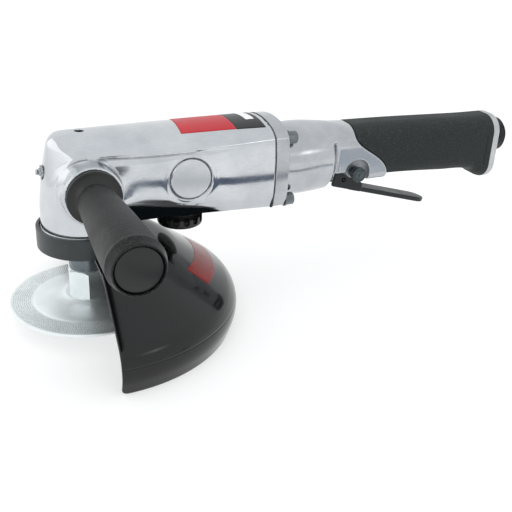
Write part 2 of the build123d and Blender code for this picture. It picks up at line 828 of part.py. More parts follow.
def side_handle_cap():
    """Slightly domed disc in the end of the side handle."""
    start = boss_reach + side_length - side_cap_depth
    end = boss_reach + side_length
    edges = [
        Polyline((0, 0, end + 0.4), (0, 0, start), (side_cap_radius, 0, start),
                 (side_cap_radius, 0, end - 0.5)),
        Bezier((side_cap_radius, 0, end - 0.5), (side_cap_radius, 0, end), (side_cap_radius - 1.2, 0, end)),
        Bezier((side_cap_radius - 1.2, 0, end), (side_cap_radius / 2, 0, end + 0.4), (0, 0, end + 0.4)),
    ]
    return SIDE * revolve(make_face(edges), Axis.Z)


# Exhaust deflector

def deflector_top():
    """Upper rim of the deflector, just clear of the exhaust boss."""
    return base_z - exhaust_boss_drop - working_gap


def exhaust_deflector():
    """Open cup with upright slots round its wall, turning on a middle screw."""
    low = deflector_bottom_z
    top = deflector_top()
    inner = deflector_radius - deflector_wall
    outside = rod(DEFLECTOR, deflector_radius, low, top)
    outside = fillet(outside.edges().filter_by(GeomType.CIRCLE).sort_by(Axis.Z)[0], 1.5)
    cup = outside - rod(DEFLECTOR, inner, low + deflector_wall, top + 1)
    cup += rod(DEFLECTOR, deflector_post, low, top)
    profile = SlotOverall(deflector_slot_height, deflector_slot_width, rotation=90)
    cutter = extrude(Plane.YZ * profile, 2 * deflector_wall)
    middle = (low + top) / 2 + 0.4
    slot = Pos(inner - deflector_wall / 2, 0, middle) * cutter
    cup -= ring_of(deflector_slots, slot, DEFLECTOR, 180 / deflector_slots)
    cup -= rod(DEFLECTOR, deflector_screw_radius + running_fit, low - 1, top + 1)
    return cup - rod(DEFLECTOR, deflector_head_radius + working_gap, low - 1, low + deflector_head_height)


def deflector_screw():
    """Screw that carries the deflector on the bar across the exhaust hole."""
    low = deflector_bottom_z
    shank = rod(DEFLECTOR, deflector_screw_radius, low, base_z + 3)
    head = rod(DEFLECTOR, deflector_head_radius, low - 0.6, low + deflector_head_height - working_gap / 2)
    return shank + head - block((0, 500), (-0.6, 0.6), (0, low + 0.6))


def silencer_ring():
    """Felt ring inside the deflector."""
    inner = deflector_radius - deflector_wall
    low = deflector_bottom_z + deflector_wall
    return tube(DEFLECTOR, inner - seat_fit, deflector_post + 3, low, low + 2.5)


# Handle casting and grip

def handle_section(reach, half, low, high, upper, lower, inset=0):
    """Section across the handle with its own upper and lower corner radii, drawn in by an inset."""
    half, low, high = half - inset, low + inset, high - inset
    upper, lower = upper - inset, lower - inset
    around = [(1, high, upper), (1, low, lower), (-1, low, lower), (-1, high, upper)]
    ends = []
    for side, level, radius in around:
        inward = -1 if level == high else 1
        beside = (side * half, level + inward * radius)
        below = (side * (half - radius), level)
        middle = (side * (half - radius * (1 - 0.5 ** 0.5)), level + inward * radius * (1 - 0.5 ** 0.5))
        first, last = (below, beside) if side * inward < 0 else (beside, below)
        ends.append([Vector(block_x + reach, y, motor_axis_z + z) for y, z in (first, middle, last)])
    edges = []
    for k in range(4):
        edges.append(ThreePointArc(*ends[k]))
        edges.append(Line(ends[k][2], ends[(k + 1) % 4][0]))
    return make_face(edges)


def handle_end(reach, drop, inset=0):
    """Section near the rear of the grip, with its foot dropped below the grip's floor."""
    return handle_section(reach, grip_half_width, -grip_floor - drop, 18.2, 13.5, end_cap_round, inset)


def handle_body(inset):
    """Outside of the grip with its flared foot, drawn in all round by an inset."""
    foot = handle_length - grip_foot
    stations = [
        (-4.0, grip_half_width + 1.0, -21.0, 20.2, 14.0, 13.0),
        (0.42 * handle_length, grip_half_width + 0.3, -20.6, 19.7, 14.0, 13.0),
        (0.72 * handle_length, grip_half_width, -22.9, 18.7, 14.0, 13.0),
    ]
    body = loft([handle_section(*station, inset) for station in stations] + [handle_end(foot, 0, inset)])
    flare = [
        (foot, 0), (foot + 0.35 * grip_foot, 1.3), (foot + 0.65 * grip_foot, 5.6),
        (handle_length, end_cap_foot),
    ]
    return body + loft([handle_end(reach, drop, inset) for reach, drop in flare])


def valve_block():
    """Outside of the valve block, a little wider and squarer below than the grip."""
    stations = [
        (-4.0, block_half_width + 1.5, -20.5, 20.4, 15.0, 8.0),
        (regulator_reach, block_half_width, -20.5, 19.9, 15.0, 5.0),
        (split_rear + 3, grip_half_width + 0.6, -20.8, 19.8, 14.5, 6.0),
    ]
    return loft([handle_section(*station) for station in stations])


def behind_split(gap):
    """Everything behind the S shaped edge where the rubber grip meets the casting."""
    top = (block_x + split_front + gap, 0, motor_axis_z + 14.6)
    foot = (block_x + split_rear + gap, 0, motor_axis_z - 17.0)
    far = handle_end_x + 1
    edges = [
        Line((top[0], 0, crown_z + 20), top),
        Bezier(top, (top[0], 0, motor_axis_z + 3), (foot[0], 0, motor_axis_z - 2), foot),
        Polyline(foot, (foot[0], 0, 0), (far, 0, 0), (far, 0, crown_z + 20), (top[0], 0, crown_z + 20)),
    ]
    return extrude(make_face(edges), 2 * barrel_half, dir=(0, 1, 0), both=True)


def neck():
    """Round, slightly barrelled neck between the flange and the valve block."""
    middle = neck_x + 0.35 * neck_length
    edges = [
        Polyline((0, 0, handle_x), (neck_radius, 0, handle_x), (neck_radius, 0, neck_x)),
        ThreePointArc((neck_radius, 0, neck_x), (neck_middle_radius, 0, middle),
                      (neck_end_radius, 0, block_x)),
        Polyline((neck_end_radius, 0, block_x), (0, 0, block_x), (0, 0, handle_x)),
    ]
    body = revolve(make_face(edges), Axis.Z)
    edge = body.edges().filter_by(GeomType.CIRCLE).sort_by(Axis.Z)[-1]
    return NECK * fillet(edge, 1.6)


def pivot_lug():
    """Lug under the valve block that the lever's ears straddle."""
    outline = Pos(pivot_x, 0, pivot_z) * Rot(90, 0, 0) * Circle(lug_radius)
    lug = extrude(outline, lug_half_width, both=True)
    stem = block(
        (pivot_x - lug_radius, pivot_x + lug_radius), (-lug_half_width, lug_half_width),
        (pivot_z, motor_axis_z - block_floor_drop + 3),
    )
    return lug + stem


def valve_block_cuts():
    """Room for the lever's ears and the regulator's arched pockets."""
    floor_z = motor_axis_z - block_floor_drop
    lobe_z = regulator_z - regulator_lobe
    wide = 2 * barrel_half
    front = block((block_x, regulator_x), (-wide, wide), (0, floor_z))
    front -= rod(REGULATOR, regulator_lobe, -wide, wide)
    under = block((regulator_x, regulator_x + pocket_radius), (-wide, wide), (0, lobe_z))
    ears = both_sides(block(
        (block_x, valve_x - valve_chamber - 1), (lug_half_width, lever_half_width + 0.6),
        (0, floor_z - 1.5),
    ))
    pocket = rod(REGULATOR, pocket_radius, pocket_floor, wide)
    pocket += block(
        (regulator_x - pocket_radius, regulator_x + pocket_radius), (-wide, -pocket_floor),
        (0, regulator_z),
    )
    return [front, under, ears, both_sides(pocket)]


def handle_casting():
    """Flange, neck, valve block and grip core in one casting, with the air passages."""
    rim_x = neck_x - mount_flange_bevel
    flange = plate(rear_outline(handle_x), 0, mount_flange - mount_flange_bevel)
    flange += loft([rear_outline(rim_x), rear_outline(neck_x, mount_flange_bevel)], ruled=True)
    front = valve_block() - behind_split(0)
    core = handle_body(grip_thickness) & block((block_x, handle_end_x), (-60, 60), (0, 200))
    solid = front + core - valve_block_cuts()
    solid = solid + neck() + flange + pivot_lug()
    bore_end = handle_end_x - bushing_seat
    voids = [
        rod(MOTOR, neck_cavity, handle_x - 1, block_x - 10),
        rod(MOTOR, air_bore, valve_x, handle_end_x + 1),
        rod(MOTOR, bushing_shank, bore_end, handle_end_x + 1),
        rod(VALVE, valve_chamber, 0, valve_top_z()),
        rod(Pos(0, 0, regulator_z) * Rot(0, 90, 0), spool_port, block_x - 15, valve_x),
        rod(REGULATOR, spool_radius + running_fit, -2 * barrel_half, 2 * barrel_half),
        rod(PIVOT, pin_radius, -barrel_half, barrel_half),
    ]
    for y, z in screw_places():
        place = Pos(0, y, z) * Rot(0, 90, 0)
        voids.append(rod(place, screw_radius + screw_hole_gap, handle_x - 1, neck_x + 1))
    return solid - voids


def valve_top_z():
    """Upper end of the valve chamber."""
    return motor_axis_z + 14.0


def handle_grip():
    """Rubber sleeve over the handle core, with a flared foot at the rear."""
    sleeve = handle_body(0) & behind_split(split_gap)
    return sleeve - handle_body(grip_thickness) - rod(VALVE, valve_chamber + 4, 0, motor_axis_z)


def handle_end_cap():
    """Aluminium plate that closes the handle, clamped by the inlet bushing."""
    face = handle_end(handle_length, end_cap_foot)
    body = extrude(face, end_cap_width, dir=(1, 0, 0))
    body = fillet(body.faces().sort_by(Axis.X)[-1].edges(), 2.2)
    return body - rod(MOTOR, bushing_shank + seat_fit, handle_end_x - 1, inlet_end_x)


def inlet_bushing():
    """Black bushing with a pipe thread for the air line."""
    start = handle_end_x - bushing_seat + 1
    seat = handle_end_x + end_cap_width
    end = inlet_end_x
    return turned(MOTOR, [
        (air_bore, start), (bushing_shank, start), (bushing_shank, seat), (bushing_radius, seat),
        (bushing_radius, end - 2.6), (bushing_radius - 2.6, end), (inlet_radius, end),
        (inlet_radius, end - inlet_depth), (air_bore, end - inlet_depth),
    ])


def inlet_screen():
    """Perforated disc ahead of the bushing that keeps dirt out of the valve."""
    start = handle_end_x - bushing_seat
    disc = rod(MOTOR, bushing_shank - seat_fit, start, start + screen_thickness)
    reach = int(air_bore / screen_pitch)
    holes = []
    for row in range(-reach, reach + 1):
        for column in range(-reach, reach + 1):
            y, z = row * screen_pitch, column * screen_pitch
            if hypot(y, z) < air_bore - screen_hole:
                holes.append(Pos(0, y, z) * rod(MOTOR, screen_hole, start - 1, start + 5))
    return disc - holes


def flange_gasket():
    """Thin gasket in the seam between the housing and the handle."""
    sheet = plate(rear_outline(housing_length), 0, gasket_thickness)
    hole = rod(Rot(0, 90, 0), screw_radius + screw_hole_gap, 0, 2 * handle_x)
    holes = [Pos(0, y, z) * hole for y, z in screw_places()]
    return sheet - rod(MOTOR, liner_radius, 0, 2 * handle_x) - holes


def flange_screws():
    """Four socket head screws."""
    seat = neck_x + washer_thickness
    screw = rod(Rot(0, 90, 0), screw_radius, housing_length - screw_grip, seat)
    head = rod(Rot(0, 90, 0), screw_head_radius, seat, seat + screw_head_length)
    socket = hex_bar(Rot(0, 90, 0), 1.7 * screw_radius, seat + 2.5, seat + 50)
    rim = (head - socket).edges().filter_by(GeomType.CIRCLE).sort_by(Axis.X)[-1]
    shape = screw + chamfer(rim, 0.6)
    return Compound([Pos(0, y, z) * shape for y, z in screw_places()])


def lock_washers():
    """Four spring washers under the screw heads, each split at one side."""
    hole = screw_radius + screw_hole_gap
    ring = tube(Rot(0, 90, 0), washer_radius, hole, neck_x, neck_x + washer_thickness)
    ring -= block((0, 500), (-0.4, 0.4), (0, 50))
    return Compound([Pos(0, y, z) * ring for y, z in screw_places()])


# Throttle lever, valve and regulator

def throttle_lever():
    """Flat lever with a rounded tip and two ears on the pivot pin, sloping away from the grip."""
    top = lever_thickness - lever_drop
    half = lever_half_width
    tip = lever_reach - 1.3 * half
    outline = [
        Line((7, -half), (tip, -half)),
        Bezier((tip, -half), (lever_reach, -half), (lever_reach, -2), (lever_reach, 0)),
        Bezier((lever_reach, 0), (lever_reach, 2), (lever_reach, half), (tip, half)),
        Polyline((tip, half), (7, half), (7, -half)),
    ]
    blade = Pos(0, 0, -lever_drop) * extrude(make_face(outline), lever_thickness)
    blade = fillet(blade.faces().sort_by(Axis.Z)[-1].edges().sort_by(Axis.X)[1:], 0.8)
    corners = [
        (-7.6, -lever_drop), (-8.4, 4.6), (-6.8, 6.0), (-3.4, 6.2), (6.9, 1.2), (13.0, top),
        (13.0, -lever_drop),
    ]
    ear = make_face(Polyline(*[(u, half, v) for u, v in corners], close=True))
    ear = extrude(ear, lever_ear, dir=(0, -1, 0))
    lever = blade + both_sides(ear)
    lever = Pos(pivot_x, 0, pivot_z) * Rot(0, lever_tilt, 0) * lever
    return lever - rod(PIVOT, pin_radius + running_fit, -barrel_half, barrel_half)


def lever_pin():
    """Hollow roll pin through the lug and both ears."""
    return tube(PIVOT, pin_radius, pin_bore, -lever_half_width, lever_half_width)


def lever_top_z(x):
    """Height of the lever's upper face at a distance along the tool, at rest."""
    slope = tan(radians(lever_tilt))
    return pivot_z - (lever_drop - lever_thickness) / cos(radians(lever_tilt)) - (x - pivot_x) * slope


def seat_top_z():
    """Face of the valve seat that the poppet closes."""
    return motor_axis_z - 7.5


def valve_stem():
    """Poppet with a stem that reaches down to the lever."""
    foot = lever_top_z(valve_x - valve_tip_radius) + working_gap
    low = seat_top_z() + working_gap / 2
    return turned(VALVE, [
        (0, foot), (valve_tip_radius, foot), (valve_tip_radius, foot + 2), (valve_stem_radius, foot + 3),
        (valve_stem_radius, low), (poppet_radius, low), (poppet_radius, low + poppet_height),
        (spring_radius - spring_wire - 0.4, low + poppet_height),
        (spring_radius - spring_wire - 0.4, low + poppet_height + 4), (0, low + poppet_height + 4),
    ])


def valve_seat():
    """Ring that the poppet closes against."""
    top = seat_top_z()
    return tube(VALVE, valve_chamber - seat_fit, seat_bore, top - seat_height, top)


def valve_bushing():
    """Threaded plug that holds the seat up and guides the stem."""
    high = seat_top_z() - seat_height
    low = regulator_z - 8.0
    body = tube(VALVE, valve_chamber - seat_fit, valve_stem_radius + running_fit, low, high)
    body -= rod(VALVE, seat_bore, regulator_z - spool_port - 0.6, high + 1)
    return body - rod(Pos(0, 0, regulator_z) * Rot(0, 90, 0), spool_port, 0, valve_x)


def valve_spring():
    """Coil spring that presses the poppet down."""
    low = seat_top_z() + working_gap / 2 + poppet_height + spring_wire / 2 + 0.1
    high = valve_top_z() - spring_wire / 2 - 0.1
    path = Helix((high - low) / spring_turns, high - low, spring_radius)
    section = Plane(path @ 0, z_dir=path % 0) * Circle(spring_wire / 2)
    return Pos(valve_x, 0, low) * sweep(section, path)


def regulator_spool():
    """Turned spool with a cross port and a grooved knob on the near side."""
    face = block_half_width + knob_proud
    rear = pocket_floor + 2.2
    neck_radius = spool_radius - 0.6
    spool = turned(REGULATOR, [
        (0, -rear), (spool_radius, -rear), (spool_radius, -rear + 0.6), (neck_radius, -rear + 0.6),
        (neck_radius, -rear + 1.6), (spool_radius, -rear + 1.6), (spool_radius, pocket_floor - 4.2),
        (neck_radius - 0.2, pocket_floor - 4.2), (neck_radius - 0.2, pocket_floor - 2.2),
        (spool_radius, pocket_floor - 2.2), (spool_radius, face - knob_length - 4.4),
        (knob_radius - 0.9, face - knob_length - 4.0), (knob_radius - 0.9, face - knob_length - 1.5),
        (spool_radius, face - knob_length - 1.3), (spool_radius, face - knob_length),
        (knob_radius, face - knob_length), (knob_radius, face - 0.4), (knob_radius - 0.4, face), (0, face),
    ])
    cross = Pos(0, 0, regulator_z) * Rot(0, 90, 0)
    return spool - rod(cross, spool_port - 0.2, regulator_x - 9, regulator_x + 9)


def regulator_ring():
    """Rubber seal ring in the spool's groove."""
    radius = spool_radius - ring_section / 2 + seat_fit
    return REGULATOR * Pos(0, 0, pocket_floor - 3.2) * Torus(radius, ring_section / 2)


def regulator_clip():
    """Retaining clip on the far end of the spool."""
    rear = pocket_floor + 2.2
    ring = tube(REGULATOR, spool_radius + 1.6, spool_radius - 0.6 + seat_fit, -rear + 0.65, -rear + 1.55)
    return ring - block((regulator_x - 1.2, regulator_x + 1.2), (0, 60), (0, regulator_z))


# Nodes

def build():
    """Fills the table of nodes, one entry for each separate piece or group of like pieces."""
    NODES["motor_housing"] = motor_housing()
    NODES["grease_fitting"] = grease_fitting()
    NODES["spindle_cap"] = spindle_cap()
    NODES["dust_seal"] = dust_seal()
    NODES["spindle"] = spindle()
    NODES["spindle_key"] = key_space(0)
    NODES["bevel_gear"] = spindle_gear()
    NODES["gear_lock_nut"] = lock_nut()
    NODES["wheel_flange"] = wheel_flange()
    lower = (lower_bearing_bore, lower_bearing_radius, lower_bearing_z, lower_bearing_width)
    upper = (upper_bearing_bore, upper_bearing_radius, upper_bearing_z, upper_bearing_width)
    bearing("lower_bearing", SPINDLE, *lower)
    bearing("upper_bearing", SPINDLE, *upper)
    front_pocket = motor_front_x + 1.5
    front_pocket_end = front_pocket + rotor_bearing_width
    rear_pocket = liner_rear_x + 2.5
    NODES["front_end_plate"] = end_plate(motor_front_x, motor_front_x - 1, front_pocket_end)
    NODES["rear_end_plate"] = end_plate(liner_rear_x, rear_pocket, housing_length) - dowel_hole()
    rotor_bearing = (rotor_shaft, rotor_bearing_radius)
    bearing("front_rotor_bearing", MOTOR, *rotor_bearing, front_pocket, rotor_bearing_width)
    bearing("rear_rotor_bearing", MOTOR, *rotor_bearing, rear_pocket, rotor_bearing_width)
    NODES["cylinder_liner"] = cylinder_liner()
    NODES["liner_dowel"] = dowel_hole()
    NODES["rotor"] = rotor()
    NODES["rotor_vanes"] = rotor_vanes()
    NODES["bevel_pinion"] = motor_pinion()
    NODES["guard_shell"] = guard_shell()
    NODES["guard_collar"] = guard_collar()
    NODES["clamp_screw"] = clamp_screw()
    NODES["clamp_nut"] = clamp_nut()
    NODES["side_handle_grip"] = side_handle_grip()
    NODES["side_handle_stud"] = side_handle_stud()
    NODES["side_handle_cap"] = side_handle_cap()
    NODES["exhaust_deflector"] = exhaust_deflector()
    NODES["deflector_screw"] = deflector_screw()
    NODES["silencer_ring"] = silencer_ring()
    NODES["flange_gasket"] = flange_gasket()
    NODES["handle_casting"] = handle_casting()
    NODES["flange_screws"] = flange_screws()
    NODES["lock_washers"] = lock_washers()
    NODES["handle_grip"] = handle_grip()
    NODES["handle_end_cap"] = handle_end_cap()
    NODES["inlet_bushing"] = inlet_bushing()
    NODES["inlet_screen"] = inlet_screen()
    NODES["throttle_lever"] = throttle_lever()
    NODES["lever_pin"] = lever_pin()
    NODES["valve_stem"] = valve_stem()
    NODES["valve_seat"] = valve_seat()
    NODES["valve_bushing"] = valve_bushing()
    NODES["valve_spring"] = valve_spring()
    NODES["regulator_spool"] = regulator_spool()
    NODES["regulator_ring"] = regulator_ring()
    NODES["regulator_clip"] = regulator_clip()


build()
os.makedirs("parts", exist_ok=True)
for node, shape in NODES.items():
    export_step(shape, f"parts/{node}.step")
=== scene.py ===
"""Air angle grinder: castings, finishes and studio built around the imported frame."""
import json
import math

import bpy
import numpy as np
from mathutils import Matrix, Vector


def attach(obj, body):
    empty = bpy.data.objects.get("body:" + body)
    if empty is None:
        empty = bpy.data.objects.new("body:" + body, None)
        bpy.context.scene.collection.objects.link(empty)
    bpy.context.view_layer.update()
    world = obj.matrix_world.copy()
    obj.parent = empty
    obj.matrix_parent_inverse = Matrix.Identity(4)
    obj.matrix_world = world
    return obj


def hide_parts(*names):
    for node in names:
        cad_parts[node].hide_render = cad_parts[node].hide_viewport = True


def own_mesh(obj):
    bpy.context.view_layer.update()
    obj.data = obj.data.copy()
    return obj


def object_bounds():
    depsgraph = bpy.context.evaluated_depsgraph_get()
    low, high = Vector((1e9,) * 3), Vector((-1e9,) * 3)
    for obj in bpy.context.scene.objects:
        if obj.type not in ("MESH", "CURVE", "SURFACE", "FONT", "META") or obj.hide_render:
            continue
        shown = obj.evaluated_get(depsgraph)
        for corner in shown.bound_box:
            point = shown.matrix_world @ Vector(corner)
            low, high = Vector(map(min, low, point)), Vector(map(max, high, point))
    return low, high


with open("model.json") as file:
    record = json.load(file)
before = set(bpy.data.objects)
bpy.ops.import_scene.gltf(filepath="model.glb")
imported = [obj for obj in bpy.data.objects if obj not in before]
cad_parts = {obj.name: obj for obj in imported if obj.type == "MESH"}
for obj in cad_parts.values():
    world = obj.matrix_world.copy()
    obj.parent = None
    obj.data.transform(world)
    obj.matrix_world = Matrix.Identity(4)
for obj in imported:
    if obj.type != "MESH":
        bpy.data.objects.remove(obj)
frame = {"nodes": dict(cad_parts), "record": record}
cad_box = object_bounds()

MM = 0.001

# Sizes of the tool in millimetres, as the frame has them
AXIS = 91.5
SEAM = 124.2
FLANGE_FRONT, FLANGE_BACK = 125.0, 135.0
NECK_Z = 88.8
BLOCK = 174.0
HANDLE_END = 316.5
SIDE_Z = 89.1
BOSS_REACH = 36.5
CAP_TOP = 58.2
PIVOT = (191.3, 69.3)
KNOB = (194.8, 78.2)
BADGE_X = 64.4
BADGE_FACE, BADGE_GROOVE = 13.2, 14.0
CREASE_ROUND = 1.2
THREAD_RADIUS, THREAD_PITCH, THREAD_DEPTH = 6.0, 2.0, 15
SPOUT_X, SPOUT_RADIUS = 66.3, 13.5
ROOF_HOLE = 3.0
NOSE_HOLE_Z, NOSE_HOLE = 95.8, 5.3
GROOVE_X, GROOVE_DEPTH = 175.4, 2.4
POCKET_SHIFT, POCKET_RADIUS, POCKET_FLOOR = 1.5, 9.9, 13.3
LUG_RADIUS = 5.2
LEVER_TILT = 15.4
LEVER_HALF = 7.7
HEX_HALF, HUB_TOP, BORE = 12.7, 26.4, 8.65
RIM_TOP, STIPPLE_START = 2.5, 38.6
STIPPLE_PITCH, STIPPLE_STEP, STIPPLE_ROWS = 1.4, 1.5, 9
HUB_TURN = 21
GUARD_LENGTH, GUARD_HALF_ANGLE = 107.9, 91.4
GUARD_HALF_THICK, GUARD_CORNER = 1.0, 4.0
SIDE_END = 140.8
KNOB_FACE = 23.9
PANEL_SINK = 0.15

# Marks in the edges attribute. A bend gives -1 to 1, so the first two can't be mistaken for one,
# and the last two paint shade into a hole as shade is painted into a hollow.
BADGE_MARK = 2.5
CAST_MARK = 4.5
HOLE_MARK = -1.2
THREAD_MARK = -0.6


# Fields: negative inside, in millimetres

def meet(a, b, radius):
    """Where two fields are both inside, with a rounded edge."""
    corner = np.hypot(np.maximum(a + radius, 0), np.maximum(b + radius, 0))
    return np.minimum(np.maximum(a, b), -radius) + corner


def join(a, b, radius):
    """Where either field is inside, with a filleted corner."""
    corner = np.hypot(np.maximum(radius - a, 0), np.maximum(radius - b, 0))
    return np.maximum(np.minimum(a, b), radius) - corner


def cut(a, b, radius):
    """The first field without the second, with a rounded edge."""
    return meet(a, -b, radius)


def ramp(x, low, high):
    """Smooth step from 0 at low to 1 at high."""
    t = np.clip((x - low) / (high - low), 0, 1)
    return t * t * (3 - 2 * t)


def through(x, places, values):
    """Smooth curve through a few values at their places."""
    places, values = np.asarray(places, float), np.asarray(values, float)
    slopes = np.gradient(values, places)
    k = np.clip(np.searchsorted(places, x) - 1, 0, len(places) - 2)
    width = places[k + 1] - places[k]
    t = np.clip((x - places[k]) / width, 0, 1)
    a, b = values[k], values[k + 1]
    p, q = slopes[k] * width, slopes[k + 1] * width
    return a + t * (p + t * (3 * (b - a) - 2 * p - q + t * (2 * (a - b) + p + q)))


def circle_3(a, b, c):
    """Centre and radius of the circle through three points whose coordinates may be arrays."""
    (ax, ay), (bx, by), (cx, cy) = a, b, c
    d = 2 * (ax * (by - cy) + bx * (cy - ay) + cx * (ay - by))
    sa, sb, sc = ax * ax + ay * ay, bx * bx + by * by, cx * cx + cy * cy
    ux = (sa * (by - cy) + sb * (cy - ay) + sc * (ay - by)) / d
    uy = (sa * (cx - bx) + sb * (ax - cx) + sc * (bx - ax)) / d
    return ux, uy, np.hypot(ax - ux, ay - uy)


def barrel(x, y, h):
    """Motor barrel and nose of the housing, with h counted from the motor axis."""
    along = np.clip(x, -32, SEAM)
    stations = (-32, 0, 45, SEAM)
    crown = through(along, stations, (29.3, 29.3, 28.5, 29.5))
    roof_half = through(along, stations, (8.4, 12, 18, 21.5))
    roof = through(along, stations, (27.3, 27.3, 26.5, 26.3))
    crease_half = through(along, stations, (17.4, 22, 28.8, 27.6))
    crease = through(along, stations, (18.8, 18.8, 19.4, 21.9))
    belly = through(along, stations, (26.2, 26.2, 30.2, 30))
    tuck = (-32, 0, 12, 22, 45, 67, 95, SEAM)
    foot_half = through(along, tuck, (28.2, 28.2, 28.3, 28.5, 28.6, 28.6, 28.4, 28.2))
    foot = through(along, tuck, (-21, -21, -15, -13, -15.5, -18.5, -22, -23))
    q = np.abs(y)
    cy, cz, radius = circle_3((crease_half, crease), (belly, 0 * belly), (foot_half, foot))
    side = np.hypot(q - cy, np.maximum(h, foot) - cz) - radius
    scallop = 1.15 * ramp(x, -6, 16) * (1 - ramp(x, 46, 100))
    side = side + scallop * np.exp(-((h - crease + 2.4) / 1.9) ** 2)
    span = np.hypot(crease_half - roof_half, roof - crease)
    slope = ((q - roof_half) * (roof - crease) + (h - roof) * (crease_half - roof_half)) / span
    rise = crown - roof
    bow = rise / roof_half ** 2
    top = (h - crown + bow * y * y) / np.hypot(1, 2 * bow * y)
    upper = meet(meet(side, slope, CREASE_ROUND), top, 1.1 + 1.5 * (1 - ramp(x, -6, 34)))
    dome_y, dome_z, dome_radius = circle_3((22.0, 18.8), (26.2, -3.0), (28.2, -21.0))
    dome = np.hypot(np.hypot(x, y) - dome_y, np.maximum(h, -21) - dome_z) - dome_radius
    dome = np.where(x < 0, meet(dome, h - 29.3, 8.4), -9.0)
    upper = meet(upper, dome, 0.02 + 1.2 * ramp(-x, 0, 14))
    base_half = through(along, stations, (22, 22, 20, 24))
    drop, draw = 29.0 + foot, base_half - foot_half
    chin = ((q - foot_half) * drop + (h - foot) * draw) / np.hypot(drop, draw)
    foot_ring = np.maximum(np.hypot(x, y) - 28.2 - 4 * ramp(-x, -8, 2), CAP_TOP - AXIS - h)
    floor = join(meet(-29.0 - h, chin, 1.0), foot_ring, 1.5)
    return meet(upper, floor, 0.6 + 2.0 * ramp(x, 10, 34))


def side_boss(x, y, z):
    """Round bosses for the side handle on both sides of the head."""
    reach = np.abs(y)
    radius = 18.8 + 1.6 * (1 - np.clip((reach - 20.5) / 12, 0, 1)) ** 3
    return meet(np.hypot(x, z - SIDE_Z) - radius, reach - BOSS_REACH, 0.7)


def housing(x, y, z):
    """Polished motor housing with its bosses, holes and badge rings."""
    h = z - AXIS
    body = barrel(x, y, h)
    ring = np.hypot(x - BADGE_X, h)
    mark = 1.1 * np.exp(-((ring - BADGE_GROOVE) / 0.55) ** 2)
    mark = mark + 0.25 * np.exp(-((ring - 16.2) / 1.7) ** 2)
    body = body + mark * (np.abs(y) > 15)
    fillet = 1.3 + 0.7 * ramp(h, 4, 12) + 2.8 * ramp(-x, -2, 20) * (1 - ramp(h, -8, 18))
    body = join(body, side_boss(x, y, z), fillet)
    thread = THREAD_RADIUS - 0.35 * np.cos(2 * np.pi * y / THREAD_PITCH) + np.maximum(y - BOSS_REACH + 1.4, 0)
    body = cut(body, np.maximum(np.hypot(x, z - SIDE_Z) - thread, BOSS_REACH - THREAD_DEPTH - y), 0.2)
    spout = np.maximum(np.hypot(x - SPOUT_X, y) - SPOUT_RADIUS, 60.1 - z)
    body = join(body, np.maximum(spout, z - 75), 1.4)
    body = cut(body, np.maximum(np.hypot(x, y) - ROOF_HOLE, 104 - z), 0.6)
    body = cut(body, np.maximum(np.hypot(y, z - NOSE_HOLE_Z) - NOSE_HOLE, x + 24.6), 0.5)
    return meet(body, x - SEAM, 0.3)


def round_box(y, h, half, low, high, upper, lower):
    """Rectangle across the tool with its own upper and lower corner radii."""
    middle = (low + high) / 2
    radius = np.where(h > middle, upper, lower)
    a = np.abs(y) - half + radius
    b = np.abs(h - middle) - (high - low) / 2 + radius
    return np.minimum(np.maximum(a, b), 0) + np.hypot(np.maximum(a, 0), np.maximum(b, 0)) - radius


def grip_shape(x, y, h, inset=0.0):
    """Outside of the grip with its flared foot."""
    stations = (170, 233.9, 276.6, 300, 305.8, 310.7, HANDLE_END, 324)
    half = through(x, stations, (18, 17.3, 17, 17, 17, 17, 17, 17)) - inset
    low = through(x, stations, (-21, -20.6, -22.9, -24.3, -25.6, -29.9, -32.4, -32.4)) + inset
    high = through(x, stations, (20.2, 19.7, 18.7, 18.2, 18.2, 18.2, 18.2, 18.2)) - inset
    return round_box(y, h, half, low, high, 13.8 - inset, 13.0 - inset)


def curve(*ends, steps):
    """Points on a Bezier curve, without its first point."""
    t = np.linspace(0, 1, steps + 1)[1:, None]
    ends = [np.asarray(e, float) for e in ends]
    while len(ends) > 1:
        ends = [a * (1 - t) + b * t for a, b in zip(ends, ends[1:])]
    return [tuple(p) for p in ends[0]]


# The S shaped edge where the rubber meets the casting, as distances along the tool and heights
S_EDGE = ((193.2, 14.6), (193.2, 3.0), (221.8, -2.0), (221.8, -17.0))
SPLIT_X, SPLIT_H = np.array([S_EDGE[0]] + curve(*S_EDGE, steps=59))[::-1].T
SPLIT_SLOPE = np.gradient(SPLIT_X, SPLIT_H)


def behind_split(x, h):
    """Field of what lies behind the S shaped edge."""
    place = np.interp(h, SPLIT_H, SPLIT_X)
    slope = np.interp(h, SPLIT_H, SPLIT_SLOPE, left=0, right=0)
    return (place - x) / np.sqrt(1 + slope * slope)


def neck_shape(x, y, z):
    """Slightly barrelled neck with a rounded end."""
    radius = through(x, (120, 135, 148.7, BLOCK, 184, 194), (25.4, 25.4, 26.3, 24.6, 23.2, 22.3))
    h = z - AXIS
    low, high, lean = 9.5, 17.5, 20.0
    t = np.clip((h - low) / (high - low), 0, 1)
    slope = lean * 6 * t * (1 - t) / (high - low)
    end = BLOCK + lean * ramp(h, low, high)
    round_end = 2.6 + 3.0 * ramp(h, 8, 13)
    return meet(np.hypot(y, z - NECK_Z) - radius, (x - end) / np.hypot(1, slope), round_end)


